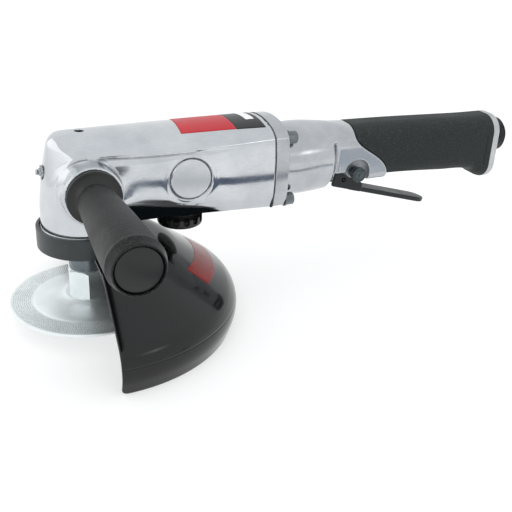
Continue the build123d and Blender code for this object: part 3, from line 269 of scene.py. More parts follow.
def valve_block(x, y, h):
    """Squarish block behind the neck that holds the valve, the regulator and the lever's pivot."""
    stations = (165, 170, 194.8, 224.8, 230)
    half = through(x, stations, (20, 19.8, 18.3, 17.6, 17.6))
    low = through(x, stations, (-20.5, -20.5, -20.5, -20.8, -20.8))
    high = through(x, stations, (20.4, 20.4, 19.9, 19.8, 19.8))
    lower = through(x, stations, (8, 8, 5, 6, 6))
    body = round_box(y, h, half, low, high, 14.8, lower)
    width = np.where(x < GROOVE_X, 1.3, 2.1)
    groove = GROOVE_DEPTH * np.exp(-((x - GROOVE_X) / width) ** 2)
    groove = groove * (1 - ramp(h, 8, 13)) * ramp(np.abs(y), 12, 17)
    body = meet(body + groove, -behind_split(x, h), 0.9)
    knob = np.hypot(x - KNOB[0], h - KNOB[1] + AXIS)
    front = np.maximum(h + 12.0, x - KNOB[0])
    body = cut(body, cut(front, knob - 5.4, 0.5), 1.0)
    body = cut(body, np.maximum(np.maximum(h + 18.7, x - KNOB[0] - 9), KNOB[0] - x), 0.8)
    arch = np.hypot(x - KNOB[0] - POCKET_SHIFT, h - KNOB[1] + AXIS) - POCKET_RADIUS
    slot = np.maximum(np.abs(x - KNOB[0] - POCKET_SHIFT) - POCKET_RADIUS, h + 13.3)
    return cut(body, np.maximum(np.minimum(arch, slot), POCKET_FLOOR - np.abs(y)), 0.5)


def handle_casting(x, y, z):
    """Flange, neck, valve block, pivot lug and grip core in one casting."""
    h = z - AXIS
    section = barrel(np.full_like(x, SEAM), y, h)
    flange = meet(meet(section, x - FLANGE_BACK, 1.0), FLANGE_FRONT - x, 0.3)
    neck = np.maximum(neck_shape(x, y, z), FLANGE_FRONT + 1 - x)
    body = join(flange, neck, 1.6)
    block = np.maximum(valve_block(x, y, h), 160 - x)
    fillet = 0.7 + 2.8 * ramp(h, 6, 12) * (1 - ramp(h, 14, 19)) * ramp(x, 148, 178)
    body = join(body, block, fillet)
    lug = np.hypot(x - PIVOT[0], z - PIVOT[1]) - LUG_RADIUS
    stem = np.maximum(np.abs(x - PIVOT[0]) - LUG_RADIUS, np.maximum(PIVOT[1] - z, z - 84))
    body = join(body, np.maximum(np.minimum(lug, stem), np.abs(y) - 4.9), 0.8)
    core = np.maximum(grip_shape(x, y, h, 3.55), np.maximum(BLOCK - x, x - HANDLE_END))
    core = cut(core, np.maximum(np.hypot(x - 209, y) - 7.0, h - 5), 0.5)
    core = np.maximum(core, 188 - x)
    return np.minimum(body, core)


def grip(x, y, z):
    """Rubber sleeve over the handle's core."""
    h = z - AXIS
    body = meet(grip_shape(x, y, h), behind_split(x, h) + 0.4, 0.7)
    line = np.hypot(np.maximum(np.abs(h + 6.5) - 11.5, 0), x - 311.0)
    body = body + 0.55 * np.exp(-(line / 0.55) ** 2) * (np.abs(y) > 10)
    body = meet(body, x - HANDLE_END, 0.4)
    return np.maximum(body, -grip_shape(x, y, h, 3.5))


def lever(x, y, z):
    """Throttle lever: a flat blade with two ears on the pivot pin."""
    tilt = math.radians(LEVER_TILT)
    dx, dz = x - PIVOT[0], z - PIVOT[1]
    u = dx * math.cos(tilt) - dz * math.sin(tilt)
    v = dx * math.sin(tilt) + dz * math.cos(tilt)
    side = np.abs(y) - LEVER_HALF
    tip = np.hypot(np.maximum(u - 71.5, 0) / 1.3, np.abs(y)) - 7.6
    blade = meet(meet(np.maximum(side, tip), 7 - u, 0.3), np.abs(v + 4.75) - 1.7, 0.7)
    fall = np.minimum((u - 5) * 0.414, (u - 5) * 0.24)
    upper = np.maximum(v - 6.1, v - 3.2 + fall)
    ear = meet(np.maximum(upper, -6.45 - v), np.maximum(-8.2 - u, u - 17.5), 1.4)
    ear = meet(ear, np.maximum(side, 5.3 - np.abs(y)), 0.5)
    return join(blade, ear, 0.8)


# Meshing

def spaced(low, high, step, *fine):
    """Grid lines with finer stretches, each (from, to, step)."""
    lines = [low]
    while lines[-1] < high:
        at = lines[-1]
        here = min([s for a, b, s in fine if a - s <= at < b] + [step])
        lines.append(at + here)
    return np.array(lines)


def skin(field, xs, ys, zs):
    """Quads on the zero surface of a field, with points and normals taken from the field itself."""
    grid = np.meshgrid(xs, ys, zs, indexing="ij")
    value = field(*grid)
    solid = value < 0
    nx, ny, nz = value.shape
    total = np.zeros((nx - 1, ny - 1, nz - 1, 3))
    count = np.zeros((nx - 1, ny - 1, nz - 1))
    crossings = []
    for axis in range(3):
        low = [slice(None)] * 3
        high = [slice(None)] * 3
        low[axis], high[axis] = slice(0, -1), slice(1, None)
        low, high = tuple(low), tuple(high)
        crossed = solid[low] != solid[high]
        crossings.append((crossed, solid[low]))
        with np.errstate(divide="ignore", invalid="ignore"):
            t = np.where(crossed, value[low] / (value[low] - value[high]), 0)
        place = [np.where(crossed, g[low], 0) for g in grid]
        place[axis] = np.where(crossed, grid[axis][low] + t * (grid[axis][high] - grid[axis][low]), 0)
        place = np.stack(place, axis=-1)
        spans = [(slice(0, -1), slice(1, None))] * 3
        spans[axis] = (slice(None),)
        for a in spans[0]:
            for b in spans[1]:
                for c in spans[2]:
                    total += place[a, b, c]
                    count += crossed[a, b, c]
    used = count > 0
    index = np.full(count.shape, -1)
    index[used] = np.arange(used.sum())
    points = total[used] / count[used][:, None]
    quads = []
    for axis in range(3):
        crossed, first = crossings[axis]
        b, c = (axis + 1) % 3, (axis + 2) % 3
        at = np.argwhere(crossed)
        inner = (at[:, b] > 0) & (at[:, c] > 0)
        inner &= (at[:, b] < value.shape[b] - 1) & (at[:, c] < value.shape[c] - 1)
        at = at[inner]
        outward = first[tuple(at.T)]
        corners = []
        for db, dc in ((-1, -1), (0, -1), (0, 0), (-1, 0)):
            place = at.copy()
            place[:, b] += db
            place[:, c] += dc
            corners.append(index[tuple(place.T)])
        corners = np.stack(corners, axis=1)
        corners[~outward] = corners[~outward][:, ::-1]
        quads.append(corners)
    for _ in range(5):
        level, slope = steepness(field, points)
        step = level[:, None] * slope / np.maximum((slope ** 2).sum(1), 1e-6)[:, None]
        length = np.linalg.norm(step, axis=1)
        step *= np.minimum(1, 0.5 / np.maximum(length, 1e-9))[:, None]
        points = points - step
    slope = steepness(field, points)[1]
    normals = slope / np.maximum(np.linalg.norm(slope, axis=1), 1e-9)[:, None]
    return points, np.concatenate(quads), normals, bend(field, points)


def bend(field, points, reach=0.7):
    """How sharply the surface bends at points: above zero on edges and below zero in hollows."""
    total = -6 * field(*points.T)
    for shift in reach * np.eye(3):
        total = total + field(*(points + shift).T) + field(*(points - shift).T)
    return np.clip(total / reach ** 2, -1, 1)


def steepness(field, points, reach=0.03):
    """Value and gradient of a field at points."""
    slope = np.empty_like(points)
    for axis, shift in enumerate(reach * np.eye(3)):
        slope[:, axis] = (field(*(points + shift).T) - field(*(points - shift).T)) / (2 * reach)
    return field(*points.T), slope


def piece(name, points, faces, body, slot, replaced=(), normals=None, edges=None, finish=None):
    """Mesh piece, from millimetre points, that rides on a body in its slot's finish or another one."""
    mesh = bpy.data.meshes.new(name)
    mesh.from_pydata((np.asarray(points) * MM).tolist(), [], [list(map(int, f)) for f in faces])
    mesh.polygons.foreach_set("use_smooth", [True] * len(mesh.polygons))
    mesh.update()
    if normals is not None:
        mesh.normals_split_custom_set_from_vertices(np.asarray(normals).tolist())
    if edges is not None:
        mesh.attributes.new("edges", "FLOAT", "POINT").data.foreach_set("value", edges)
    thing = bpy.data.objects.new(name, mesh)
    bpy.context.scene.collection.objects.link(thing)
    mesh.materials.append(FINISHES[finish or slot])
    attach(thing, body)
    if replaced:
        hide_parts(*replaced)
    return thing


def lathe(profile, count, x, z):
    """Points and quads of a (radius, distance) profile, turned about an axis to the near side at x and z."""
    angles = np.radians(np.linspace(0, 360.0, count, endpoint=False))
    r, out = np.asarray(profile, float).T[:, :, None]
    points = np.broadcast_arrays(x + r * np.cos(angles), -out, z + r * np.sin(angles))
    return np.stack(points, axis=-1).reshape(-1, 3), grid_quads(len(profile), count, True)


def grid_quads(rows, columns, around):
    """Quads between the rows of a grid whose columns may close round."""
    faces = []
    for i in range(rows - 1):
        for j in range(columns if around else columns - 1):
            k = (j + 1) % columns
            faces.append((i * columns + j, i * columns + k, (i + 1) * columns + k, (i + 1) * columns + j))
    return faces


def rounded(corners, radii, steps=10):
    """Polyline with its inner corners rounded by arcs."""
    points = [tuple(corners[0])]
    for before, corner, after, radius in zip(corners, corners[1:], corners[2:], radii):
        a, b, c = (np.asarray(p, float) for p in (before, corner, after))
        u, w = (a - b) / np.linalg.norm(a - b), (c - b) / np.linalg.norm(c - b)
        half = math.acos(np.clip(u @ w, -1, 1)) / 2
        middle = b + (u + w) / np.linalg.norm(u + w) * radius / math.sin(half)
        first, last = b + u * radius / math.tan(half), b + w * radius / math.tan(half)
        p, q = first - middle, last - middle
        turn = math.acos(np.clip(p @ q / radius ** 2, -1, 1))
        for k in range(steps + 1):
            t = k / steps
            v = (math.sin((1 - t) * turn) * p + math.sin(t * turn) * q) / math.sin(turn)
            points.append(tuple(middle + v))
    points.append(tuple(corners[-1]))
    return points


def even(points, step):
    """Polyline walked at an even step, and the length at each point."""
    points = np.asarray(points, float)
    length = np.concatenate([[0], np.cumsum(np.linalg.norm(np.diff(points, axis=0), axis=1))])
    count = max(2, int(round(length[-1] / step)) + 1)
    at = np.linspace(0, length[-1], count)
    return np.stack([np.interp(at, length, points[:, k]) for k in range(2)], axis=1), at


# Finishes

def tone(r, g, b):
    """Linear colour from screen values of 0 to 255."""
    linear = ((c / 255 / 12.92) if c <= 10 else ((c / 255 + 0.055) / 1.055) ** 2.4 for c in (r, g, b))
    return tuple(linear) + (1.0,)


def add_node(tree, kind, sockets=None, **settings):
    """Shader node with its settings and with values on some of its sockets."""
    node = tree.nodes.new("ShaderNode" + kind)
    for name, value in settings.items():
        setattr(node, name, value)
    for socket, value in (sockets or {}).items():
        node.inputs[socket].default_value = value
    return node


def map_range(tree, low, high, first, last, **settings):
    """Node that takes low..high to first..last."""
    sockets = {"From Min": low, "From Max": high, "To Min": first, "To Max": last}
    return add_node(tree, "MapRange", sockets, **settings)


class Finish:
    """Procedural finish: tones and roughness mixed by noise, over a fine relief."""

    def __init__(self, name, metal=0.0):
        self.material = bpy.data.materials.new(name)
        self.material.use_nodes = True
        self.tree = self.material.node_tree
        self.shader = self.tree.nodes["Principled BSDF"]
        self.shader.inputs["Metallic"].default_value = metal
        self.coords = add_node(self.tree, "TexCoord").outputs["Object"]
        self.height = None

    def link(self, a, b):
        self.tree.links.new(a, b)

    def noise(self, size, detail, stretch=(1, 1, 1), rough=0.55):
        """Noise whose features are about size millimetres wide, stretched along some axes."""
        place = add_node(self.tree, "Mapping", {"Scale": [1 / s for s in stretch]})
        self.link(self.coords, place.inputs["Vector"])
        sockets = {"Scale": 1000.0 / size, "Detail": detail, "Roughness": rough}
        node = add_node(self.tree, "TexNoise", sockets)
        self.link(place.outputs["Vector"], node.inputs["Vector"])
        return node.outputs["Fac"]

    def spread(self, source, low, high, first, last):
        """Source from low..high taken to first..last."""
        node = map_range(self.tree, low, high, first, last)
        self.link(source, node.inputs["Value"])
        return node.outputs["Result"]

    def blend(self, mask, a, b):
        """Colour a where the mask is 0 and b where it is 1. Each is a colour or a socket."""
        node = add_node(self.tree, "Mix", data_type="RGBA")
        self.link(mask, node.inputs[0])
        for value, socket in ((a, node.inputs[6]), (b, node.inputs[7])):
            if isinstance(value, tuple):
                socket.default_value = value
            else:
                self.link(value, socket)
        return node.outputs[2]

    def add(self, a, b, how="ADD"):
        """Sum or other mix of two sockets."""
        node = add_node(self.tree, "Math", operation=how)
        self.link(a, node.inputs[0])
        self.link(b, node.inputs[1])
        return node.outputs[0]

    def edges(self, low, high):
        """Mask from the surface's bend, 0 at low and 1 at high."""
        node = add_node(self.tree, "Attribute", attribute_name="edges")
        return self.spread(node.outputs["Fac"], low, high, 0, 1)

    def colour(self, socket):
        self.link(socket, self.shader.inputs["Base Color"])

    def rough(self, socket):
        self.link(socket, self.shader.inputs["Roughness"])

    def relief(self, source, depth):
        """Bump of a given depth in millimetres, laid over any earlier one."""
        node = add_node(self.tree, "Bump", {"Strength": 1.0, "Distance": depth * MM})
        self.link(source, node.inputs["Height"])
        if self.height is not None:
            self.link(self.height, node.inputs["Normal"])
        self.height = node.outputs["Normal"]
        self.link(self.height, self.shader.inputs["Normal"])


def metal(name, dark, light, rough, lay, cloud, line, depth, spots, wave=0.0, hollow_shade=None):
    """Bare or plated metal with a lay of fine lines, clouded tones, a few dull spots and, given a shade tone,
    painted shade in hollows and marked holes.
    """
    f = Finish(name, metal=1.0)
    dark, light = tone(*dark), tone(*light)
    clouds = f.noise(cloud, 4)
    lines = f.noise(line, 2, lay)
    mask = f.spread(clouds, 0.32, 0.68, 0, 1)
    colour = f.blend(mask, dark, light)
    fine = f.spread(lines, 0.3, 0.7, 0, 0.25)
    colour = f.blend(fine, colour, tuple(0.8 * c for c in dark[:3]) + (1.0,))
    level = f.add(f.spread(clouds, 0.3, 0.7, rough[1], rough[0]), f.spread(lines, 0.3, 0.7, 0, 0.05))
    dull = f.spread(f.noise(cloud * 0.3, 5, rough=0.7), 0.6, 0.72, 0, 1)
    level = f.add(level, f.spread(dull, 0, 1, 0, spots))
    if hollow_shade:
        # Painted shade: where the surface is hollow or a hole is marked, the colour darkens towards the shade
        # tone
        hollow = f.edges(-0.16, -0.75)
        hollow = f.add(hollow, f.spread(f.noise(4, 4), 0.3, 0.7, 0.6, 1.0), "MULTIPLY")
        colour = f.blend(hollow, colour, tone(*hollow_shade))
        level = f.add(level, f.spread(hollow, 0, 1, 0, 0.25))
        level = f.add(level, f.spread(f.edges(0.1, 0.6), 0, 1, 0, 0.04))
        # From the badge's mark up, and then the rough-cast pocket's mark alone
        level = f.add(level, f.spread(f.edges(1.5, 2.2), 0, 1, 0, 0.16))
        rough_cast = f.edges(3.2, 4.0)
        colour = f.blend(rough_cast, colour, tone(166, 170, 172))
        level = f.add(level, f.spread(rough_cast, 0, 1, 0, 0.25))
    f.colour(colour)
    f.rough(level)
    if wave:
        f.relief(f.noise(17, 2, (2.4, 1, 1)), wave)
    f.relief(lines, depth)
    return f.material


def coating(name, dark, light, rough, cloud, grain, depth, wear=None, coat=0.0, gleam=0.5, fleck=None):
    """Paint, rubber or moulding with clouded tones, a grain and rubbed patches."""
    f = Finish(name)
    f.shader.inputs["Specular IOR Level"].default_value = gleam
    f.shader.inputs["Coat Weight"].default_value = coat
    f.shader.inputs["Coat Roughness"].default_value = 0.07
    clouds = f.noise(cloud, 4)
    grains = f.noise(grain, 3)
    colour = f.blend(f.spread(clouds, 0.3, 0.7, 0, 1), tone(*dark), tone(*light))
    level = f.spread(clouds, 0.3, 0.7, rough[0], rough[1])
    level = f.add(level, f.spread(grains, 0.3, 0.7, -0.04, 0.04))
    if wear:
        rubbed = f.spread(f.noise(cloud * 0.35, 6, rough=0.75), 0.62, 0.7, 0, 1)
        colour = f.blend(rubbed, colour, tone(*wear))
        level = f.add(level, f.spread(rubbed, 0, 1, 0, 0.08))
    if fleck:
        colour = f.blend(f.spread(grains, 0.52, 0.66, 0, 1), colour, tone(*fleck))
    f.colour(colour)
    f.rough(level)
    f.relief(grains, depth)
    return f.material


# Metals: dark and light screen tones, roughness, lay of the lines, widths of clouds and lines,
# depth of the lines, dull spots, waviness, and the tone of painted shade in hollows
METALS = {
    "cast_satin_aluminium": (
        (176, 179, 183), (195, 197, 200), (0.12, 0.21), (5, 1, 1), 20, 0.5, 0.0015, 0.07, 0.06, (92, 96, 102),
    ),
    "knob_steel": ((74, 82, 84), (98, 106, 108), (0.26, 0.36), (1, 1, 1), 4, 0.4, 0.003, 0.08),
    "spindle_steel": ((96, 104, 108), (122, 130, 134), (0.24, 0.34), (1, 1, 4), 9, 0.5, 0.003, 0.08),
    "polished_aluminium": (
        (192, 196, 200), (211, 214, 217), (0.05, 0.12), (9, 1, 1), 26, 0.5, 0.001, 0.05, 0.05, (92, 96, 102),
    ),
    "satin_aluminium": ((180, 183, 185), (202, 204, 206), (0.34, 0.44), (1, 1, 5), 14, 0.5, 0.006, 0.1),
    "bright_steel": ((150, 154, 158), (184, 187, 190), (0.16, 0.26), (1, 1, 4), 12, 0.5, 0.003, 0.08),
    "zinc_plate": (
        (232, 238, 239), (244, 248, 248), (0.36, 0.48), (1, 1, 1), 16, 0.7, 0.004, 0.1, 0.0, (120, 126, 128),
    ),
    "grey_screw_steel": ((100, 106, 108), (138, 143, 145), (0.30, 0.42), (1, 1, 1), 5, 0.4, 0.004, 0.1),
    "black_oxide": ((44, 44, 46), (64, 64, 66), (0.34, 0.48), (1, 1, 1), 6, 0.4, 0.004, 0.1),
    "grey_iron": ((120, 120, 120), (150, 150, 150), (0.40, 0.55), (1, 1, 1), 8, 0.6, 0.01, 0.1),
    "valve_brass": ((186, 152, 84), (214, 182, 112), (0.22, 0.34), (1, 1, 4), 7, 0.4, 0.003, 0.1),
}

# Coatings: dark and light screen tones, roughness, widths of clouds and grain, depth of the grain,
# tone of rubbed patches, clear coat, gleam, and the tone of flecks
COATINGS = {
    "black_gloss_paint": ((6, 6, 7), (10, 10, 11), (0.13, 0.19), 45, 3.2, 0.002, None, 0.4, 0.25),
    "dark_collar_paint": ((38, 44, 46), (50, 57, 59), (0.30, 0.40), 18, 0.8, 0.01, (64, 70, 72)),
    "black_lever_paint": ((18, 24, 25), (28, 34, 36), (0.34, 0.46), 16, 0.7, 0.02, (46, 53, 54), 0.0, 0.4),
    "black_moulding": (
        (10, 11, 11), (17, 18, 18), (0.40, 0.52), 24, 1.4, 0.18, None, 0.0, 0.25, (46, 48, 48),
    ),
    "black_deflector": ((14, 14, 15), (22, 22, 23), (0.26, 0.36), 12, 0.8, 0.01),
    "grip_rubber": (
        (22, 26, 26), (33, 38, 38), (0.56, 0.68), 26, 0.9, 0.08, (44, 49, 49), 0.0, 0.35, (54, 60, 60),
    ),
    "seal_rubber": ((26, 26, 27), (34, 34, 35), (0.6, 0.7), 6, 0.4, 0.02),
    "gasket_sheet": ((66, 67, 67), (84, 85, 84), (0.7, 0.8), 6, 0.4, 0.02),
    "vane_laminate": ((96, 70, 46), (118, 88, 60), (0.5, 0.6), 6, 0.5, 0.02),
    "felt": ((34, 33, 31), (48, 46, 43), (0.85, 0.95), 5, 0.5, 0.1),
    "red_print": ((176, 8, 26), (190, 16, 34), (0.34, 0.42), 12, 0.7, 0.006, None, 0.0, 0.3),
    "black_print": ((14, 14, 15), (22, 22, 23), (0.32, 0.40), 12, 0.7, 0.006, None, 0.0, 0.3),
    "white_print": ((232, 233, 233), (244, 244, 244), (0.36, 0.44), 8, 0.7, 0.006),
    # The guard panel's red print, darkened with painted shade
    "shaded_red_print": ((116, 16, 12), (132, 24, 18), (0.22, 0.30), 12, 0.7, 0.006, None, 0.0, 0.3),
    "cap_moulding": ((10, 11, 11), (16, 17, 17), (0.30, 0.38), 14, 0.8, 0.02),
}

FINISHES = {name: metal(name, *values) for name, values in METALS.items()}
FINISHES.update((name, coating(name, *values)) for name, values in COATINGS.items())

for entry in frame["record"]["subparts"]:
    node = frame["nodes"][entry["node"]]
    node.data.materials.clear()
    node.data.materials.append(FINISHES[entry["material_slot"]])
for name in ("spindle", "inlet_screen"):
    frame["nodes"][name].data.materials[0] = FINISHES["spindle_steel"]

# The valve's coil spring, which shortens against the top of its bore as the stem rises, gets a mesh of its
# own

spring = frame["nodes"]["valve_spring"]
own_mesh(spring)

# Castings, grip and lever from their fields

COARSE = 1.05
FINE = 0.56

points, faces, normals, edges = skin(
    housing,
    spaced(-31, 126, COARSE, (-28, -22, FINE), (-8, 8, FINE), (47, 81.5, FINE), (122, 126, 0.5)),
    spaced(-39, 39, COARSE, (-39, -20, FINE), (-4, 4, FINE), (22, 39, FINE)),
    spaced(56, 124, COARSE, (56, 62, FINE), (74, 118, FINE)),
)
x, y, z = points.T
edges[(np.hypot(x - BADGE_X, z - AXIS) < BADGE_FACE) & (np.abs(y) > 15)] = BADGE_MARK
# Painted shade in the roof hole and in the thread of the boss on the +Y side
edges[(np.hypot(x, y) < ROOF_HOLE + 0.3) & (z > 100) & (z < 120)] = HOLE_MARK
edges[(np.hypot(x, z - SIDE_Z) < THREAD_RADIUS + 1) & (y > 20) & (y < BOSS_REACH - 0.8)] = THREAD_MARK
piece("housing_casting", points, faces, "tool", "polished_aluminium", ["motor_housing"], normals, edges)

points, faces, normals, edges = skin(
    handle_casting,
    spaced(122, 319, COARSE, (124, 138, FINE), (170, 224, FINE)),
    spaced(-33, 33, COARSE, (-23, -12, FINE), (-6, 6, FINE), (12, 23, FINE)),
    spaced(54, 124, COARSE, (62, 110, FINE)),
)
x, y, z = points.T
beside = x - KNOB[0] - POCKET_SHIFT
near = np.where(z > KNOB[1], np.hypot(beside, z - KNOB[1]), np.abs(beside))
edges[(near < 10.1) & (np.abs(y) < 17.9) & (z < 90)] = CAST_MARK
# The shoulder between neck and block gets no painted shade
shoulder = (x > 150) & (x < 196) & (z > AXIS + 9.5)
edges[shoulder] = np.maximum(edges[shoulder], 0)
piece("handle_body", points, faces, "tool", "polished_aluminium", ["handle_casting"], normals, edges,
      "cast_satin_aluminium")

points, faces, normals, edges = skin(
    grip,
    spaced(190, 319, COARSE, (190, 224, FINE), (309, 319, FINE)),
    spaced(-20, 20, COARSE, (-20, -12, FINE), (12, 20, FINE)),
    spaced(55, 114, COARSE, (70, 98, FINE)),
)
piece("grip_sleeve", points, faces, "tool", "grip_rubber", ["handle_grip"], normals, edges)

points, faces, normals, edges = skin(
    lever, spaced(176, 274, FINE), spaced(-9, 9, FINE), spaced(38, 82, FINE),
)
piece("lever_blade", points, faces, "lever", "black_lever_paint", ["throttle_lever"], normals, edges)


# Guard shell as a sheet bent round its middle surface

def normals_of(steps):
    """Unit normals to the left of a line's steps."""
    normal = np.stack([-steps[:, 1], steps[:, 0]], axis=1)
    return normal / np.linalg.norm(normal, axis=1)[:, None]


def sheet_grid(line, half_angle, reach, corner, bead):
    """Closed sheet turned from a profile line, with rounded edges and rounded corners at the low ends."""
    line, at = even(line, 1.5)
    length = at[-1]
    s = np.unique(np.concatenate([
        [0, 0.15, 0.5, 1.0], np.arange(2, length - 1.5, 1.4), np.arange(83, 91, 0.35),
        length - np.array([1.0, 0.5, 0.15, 0]),
    ]))
    base = np.stack([np.interp(s, at, line[:, k]) for k in range(2)], axis=1)
    edge = np.degrees(np.array([0, 0.15, 0.5, 1.0, 1.8, 2.8, 4.0, 6.0]) / line[:, 0].max())
    inner = np.linspace(-half_angle + edge[-1], half_angle - edge[-1], 170)
    angles = np.concatenate([-half_angle + edge[:-1], inner, (half_angle - edge[:-1])[::-1]])
    outer_points, inner_points = [], []
    normal = normals_of(np.gradient(base, s, axis=0))
    for angle in angles:
        gap = math.radians(half_angle - abs(angle)) * base[:, 0]
        trim = 0.0
        low = gap[-1]
        if low < corner:
            trim = corner - math.sqrt(max(corner ** 2 - (corner - low) ** 2, 0))
        knee = length - 9
        t = np.where(s > knee, knee + (s - knee) * (length - trim - knee) / (length - knee), s)
        place = np.stack([np.interp(t, s, base[:, k]) for k in range(2)], axis=1)
        near = np.minimum(np.minimum(t, length - trim - t), gap)
        thick = reach * np.sqrt(1 - (1 - np.clip(near / reach, 0, 1)) ** 2)
        swell = bead(t)
        c, d = math.cos(math.radians(angle)), math.sin(math.radians(angle))
        for store, sign in ((outer_points, 1), (inner_points, -1)):
            p = place + normal * (sign * thick + swell)[:, None]
            store.append(np.stack([p[:, 0] * c, p[:, 0] * d, p[:, 1]], axis=1))
    rows, columns = len(angles), len(s)
    points = np.concatenate([np.concatenate(outer_points), np.concatenate(inner_points)])
    faces = [tuple(reversed(f)) for f in grid_quads(rows, columns, False)]
    shift = rows * columns
    faces += [tuple(v + shift for v in reversed(f)) for f in faces]
    return points, faces


def guard_line(inset):
    """Profile of the guard at a depth below its outer skin."""
    corners = [(29.55, 44.2), (55.7, 44.2), (106.6, 8.3), (99.0, -14.7)]
    line = np.asarray(rounded(corners, (22, 21), 24), float)
    return line - normals_of(np.gradient(line, axis=0)) * inset


def fold(t):
    """Shallow drawn-in line round the skirt, by the length along the profile."""
    return -0.3 * np.exp(-((t - 86.4) / 0.5) ** 2) - 0.12 * ramp(t, 85.6, 87.2)


middle_line = guard_line(GUARD_HALF_THICK)
points, faces = sheet_grid(middle_line, GUARD_HALF_ANGLE, GUARD_HALF_THICK, GUARD_CORNER, fold)
guard = piece("guard_sheet", points, faces, "guard", "black_gloss_paint", ["guard_shell"])
weld = guard.modifiers.new("weld", "WELD")
weld.merge_threshold = 0.00002


# Side handle, turned: profiles of (radius, distance along the axis) from the boss or from the outer end

def shifted(line, by):
    """Profile moved along its axis."""
    return [(r, at + by) for r, at in line]


flange_line = [(4.0, 0), (16.6, 0), (17.2, 0.25), (17.4, 0.8), (17.4, 1.8)]
flange_line += curve((17.4, 1.8), (17.4, 2.5), (16.8, 2.6), steps=5)
flange_line += curve((16.8, 2.6), (12.0, 3.2), (10.6, 5.2), (10.6, 8.2), steps=18)
flange_line += [(10.5, 8.3), (4, 8.3)]
points, faces = lathe(shifted(flange_line, BOSS_REACH), 120, 0, SIDE_Z)
piece("side_grip_flange", points, faces, "tool", "black_moulding", finish="cap_moulding")

root_line = [(4, 8.2), (10.6, 8.2)]
root_line += curve((10.6, 8.2), (10.7, 9.0), (11.2, 9.2), steps=5)
root_line += curve((11.2, 9.2), (12.2, 9.6), (12.3, 11.2), steps=6)
swell_line = curve(
    (12.3, BOSS_REACH + 11.2), (12.9, BOSS_REACH + 24),
    (16.2, SIDE_END - 34), (16.2, SIDE_END - 10.5), steps=50,
)
tip_line = curve((16.2, -10.5), (16.2, -9.0), (16.5, -8.8), (16.5, -8.0), steps=8)
tip_line += curve((16.5, -8.0), (16.5, -6.8), (16.1, -6.0), steps=8)
tip_line += curve((16.1, -6.0), (15.2, -3.2), (14.8, -1.4), steps=8)
tip_line += curve((14.8, -1.4), (14.5, 0), (14.0, 0), steps=8)
tip_line += [(13.75, -0.15), (13.45, -0.6), (13.4, -1.6), (13.4, -3.6), (3, -3.6)]
handle_line = shifted(root_line, BOSS_REACH) + swell_line + shifted(tip_line, SIDE_END)
points, faces = lathe(handle_line, 120, 0, SIDE_Z)
piece("side_grip", points, faces, "tool", "black_moulding", ["side_handle_grip"])

disc_line = [(0.01, 0.4)]
disc_line += curve((0.01, 0.4), (6.5, 0.4), (12.2, -1.0), steps=20)
disc_line += curve((12.2, -1.0), (13.0, -1.25), (13.0, -1.9), steps=8)
disc_line += [(13.0, -3.5), (2, -3.5)]
points, faces = lathe(shifted(disc_line, SIDE_END), 96, 0, SIDE_Z)
piece("side_grip_disc", points, [tuple(reversed(f)) for f in faces], "tool", "black_moulding",
      ["side_handle_cap"], finish="cap_moulding")

# Regulator spool with its grooved, turned knob, whose profile is counted from its face

shank_line = [(0.01, -15.5), (3.2, -15.5), (3.6, -15.1), (3.6, -14.9), (3.0, -14.8), (3.0, -14.0)]
shank_line += [(3.6, -13.9), (3.6, 9.1), (2.8, 9.1), (2.8, 11.1), (3.6, 11.1)]
knob_line = [(3.6, -7.2), (4.3, -7.1), (4.6, -6.8), (4.6, -4.6)]
knob_line += [(4.4, -4.3), (3.6, -4.2), (3.6, -2.9), (4.9, -2.8)]
knob_line += curve((4.9, -2.8), (5.4, -2.8), (5.4, -2.4), steps=4)
knob_line += [(5.4, -0.6), (4.95, -0.12), (4.7, -0.1), (4.55, -0.35), (4.2, -0.35)]
knob_line += [(4.0, 0), (3.1, 0), (2.95, -0.12), (2.8, 0), (1.9, 0), (1.75, -0.12), (1.6, 0)]
knob_line += [(1.0, 0), (0.3, -0.8), (0.01, -0.85)]
points, faces = lathe(shank_line + shifted(knob_line, KNOB_FACE), 72, *KNOB)
knob = piece("regulator_knob", points, faces, "regulator", "black_oxide", ["regulator_spool"],
             finish="knob_steel")
knob.data.set_sharp_from_angle(angle=math.radians(32))


# Wheel flange: stippled ring, dished middle and hexagonal hub

def stipple(r, angle):
    """Shallow dimples in rings on the flat rim of the wheel flange."""
    row = np.floor((r - STIPPLE_START) / STIPPLE_PITCH)
    middle = STIPPLE_START + (row + 0.5) * STIPPLE_PITCH
    around = np.round(2 * np.pi * middle / STIPPLE_STEP)
    place = angle / (2 * np.pi) * around + 0.5 * (row % 2)
    cell = np.floor(place)
    jitter = np.sin(cell * 12.9898 + row * 78.233) * 43758.5453
    jitter = jitter - np.floor(jitter)
    across = (place - cell - 0.5 + 0.3 * (jitter - 0.5)) * 2 * np.pi * middle / around
    along = r - middle + 0.3 * (((jitter * 7.3) % 1) - 0.5)
    dent = np.exp(-(across ** 2 + along ** 2) / (0.38 + 0.1 * ((jitter * 3.7) % 1)) ** 2)
    inside = (r > STIPPLE_START + 0.1) & (row < STIPPLE_ROWS)
    return np.where(inside, (0.22 + 0.12 * jitter) * dent, 0)


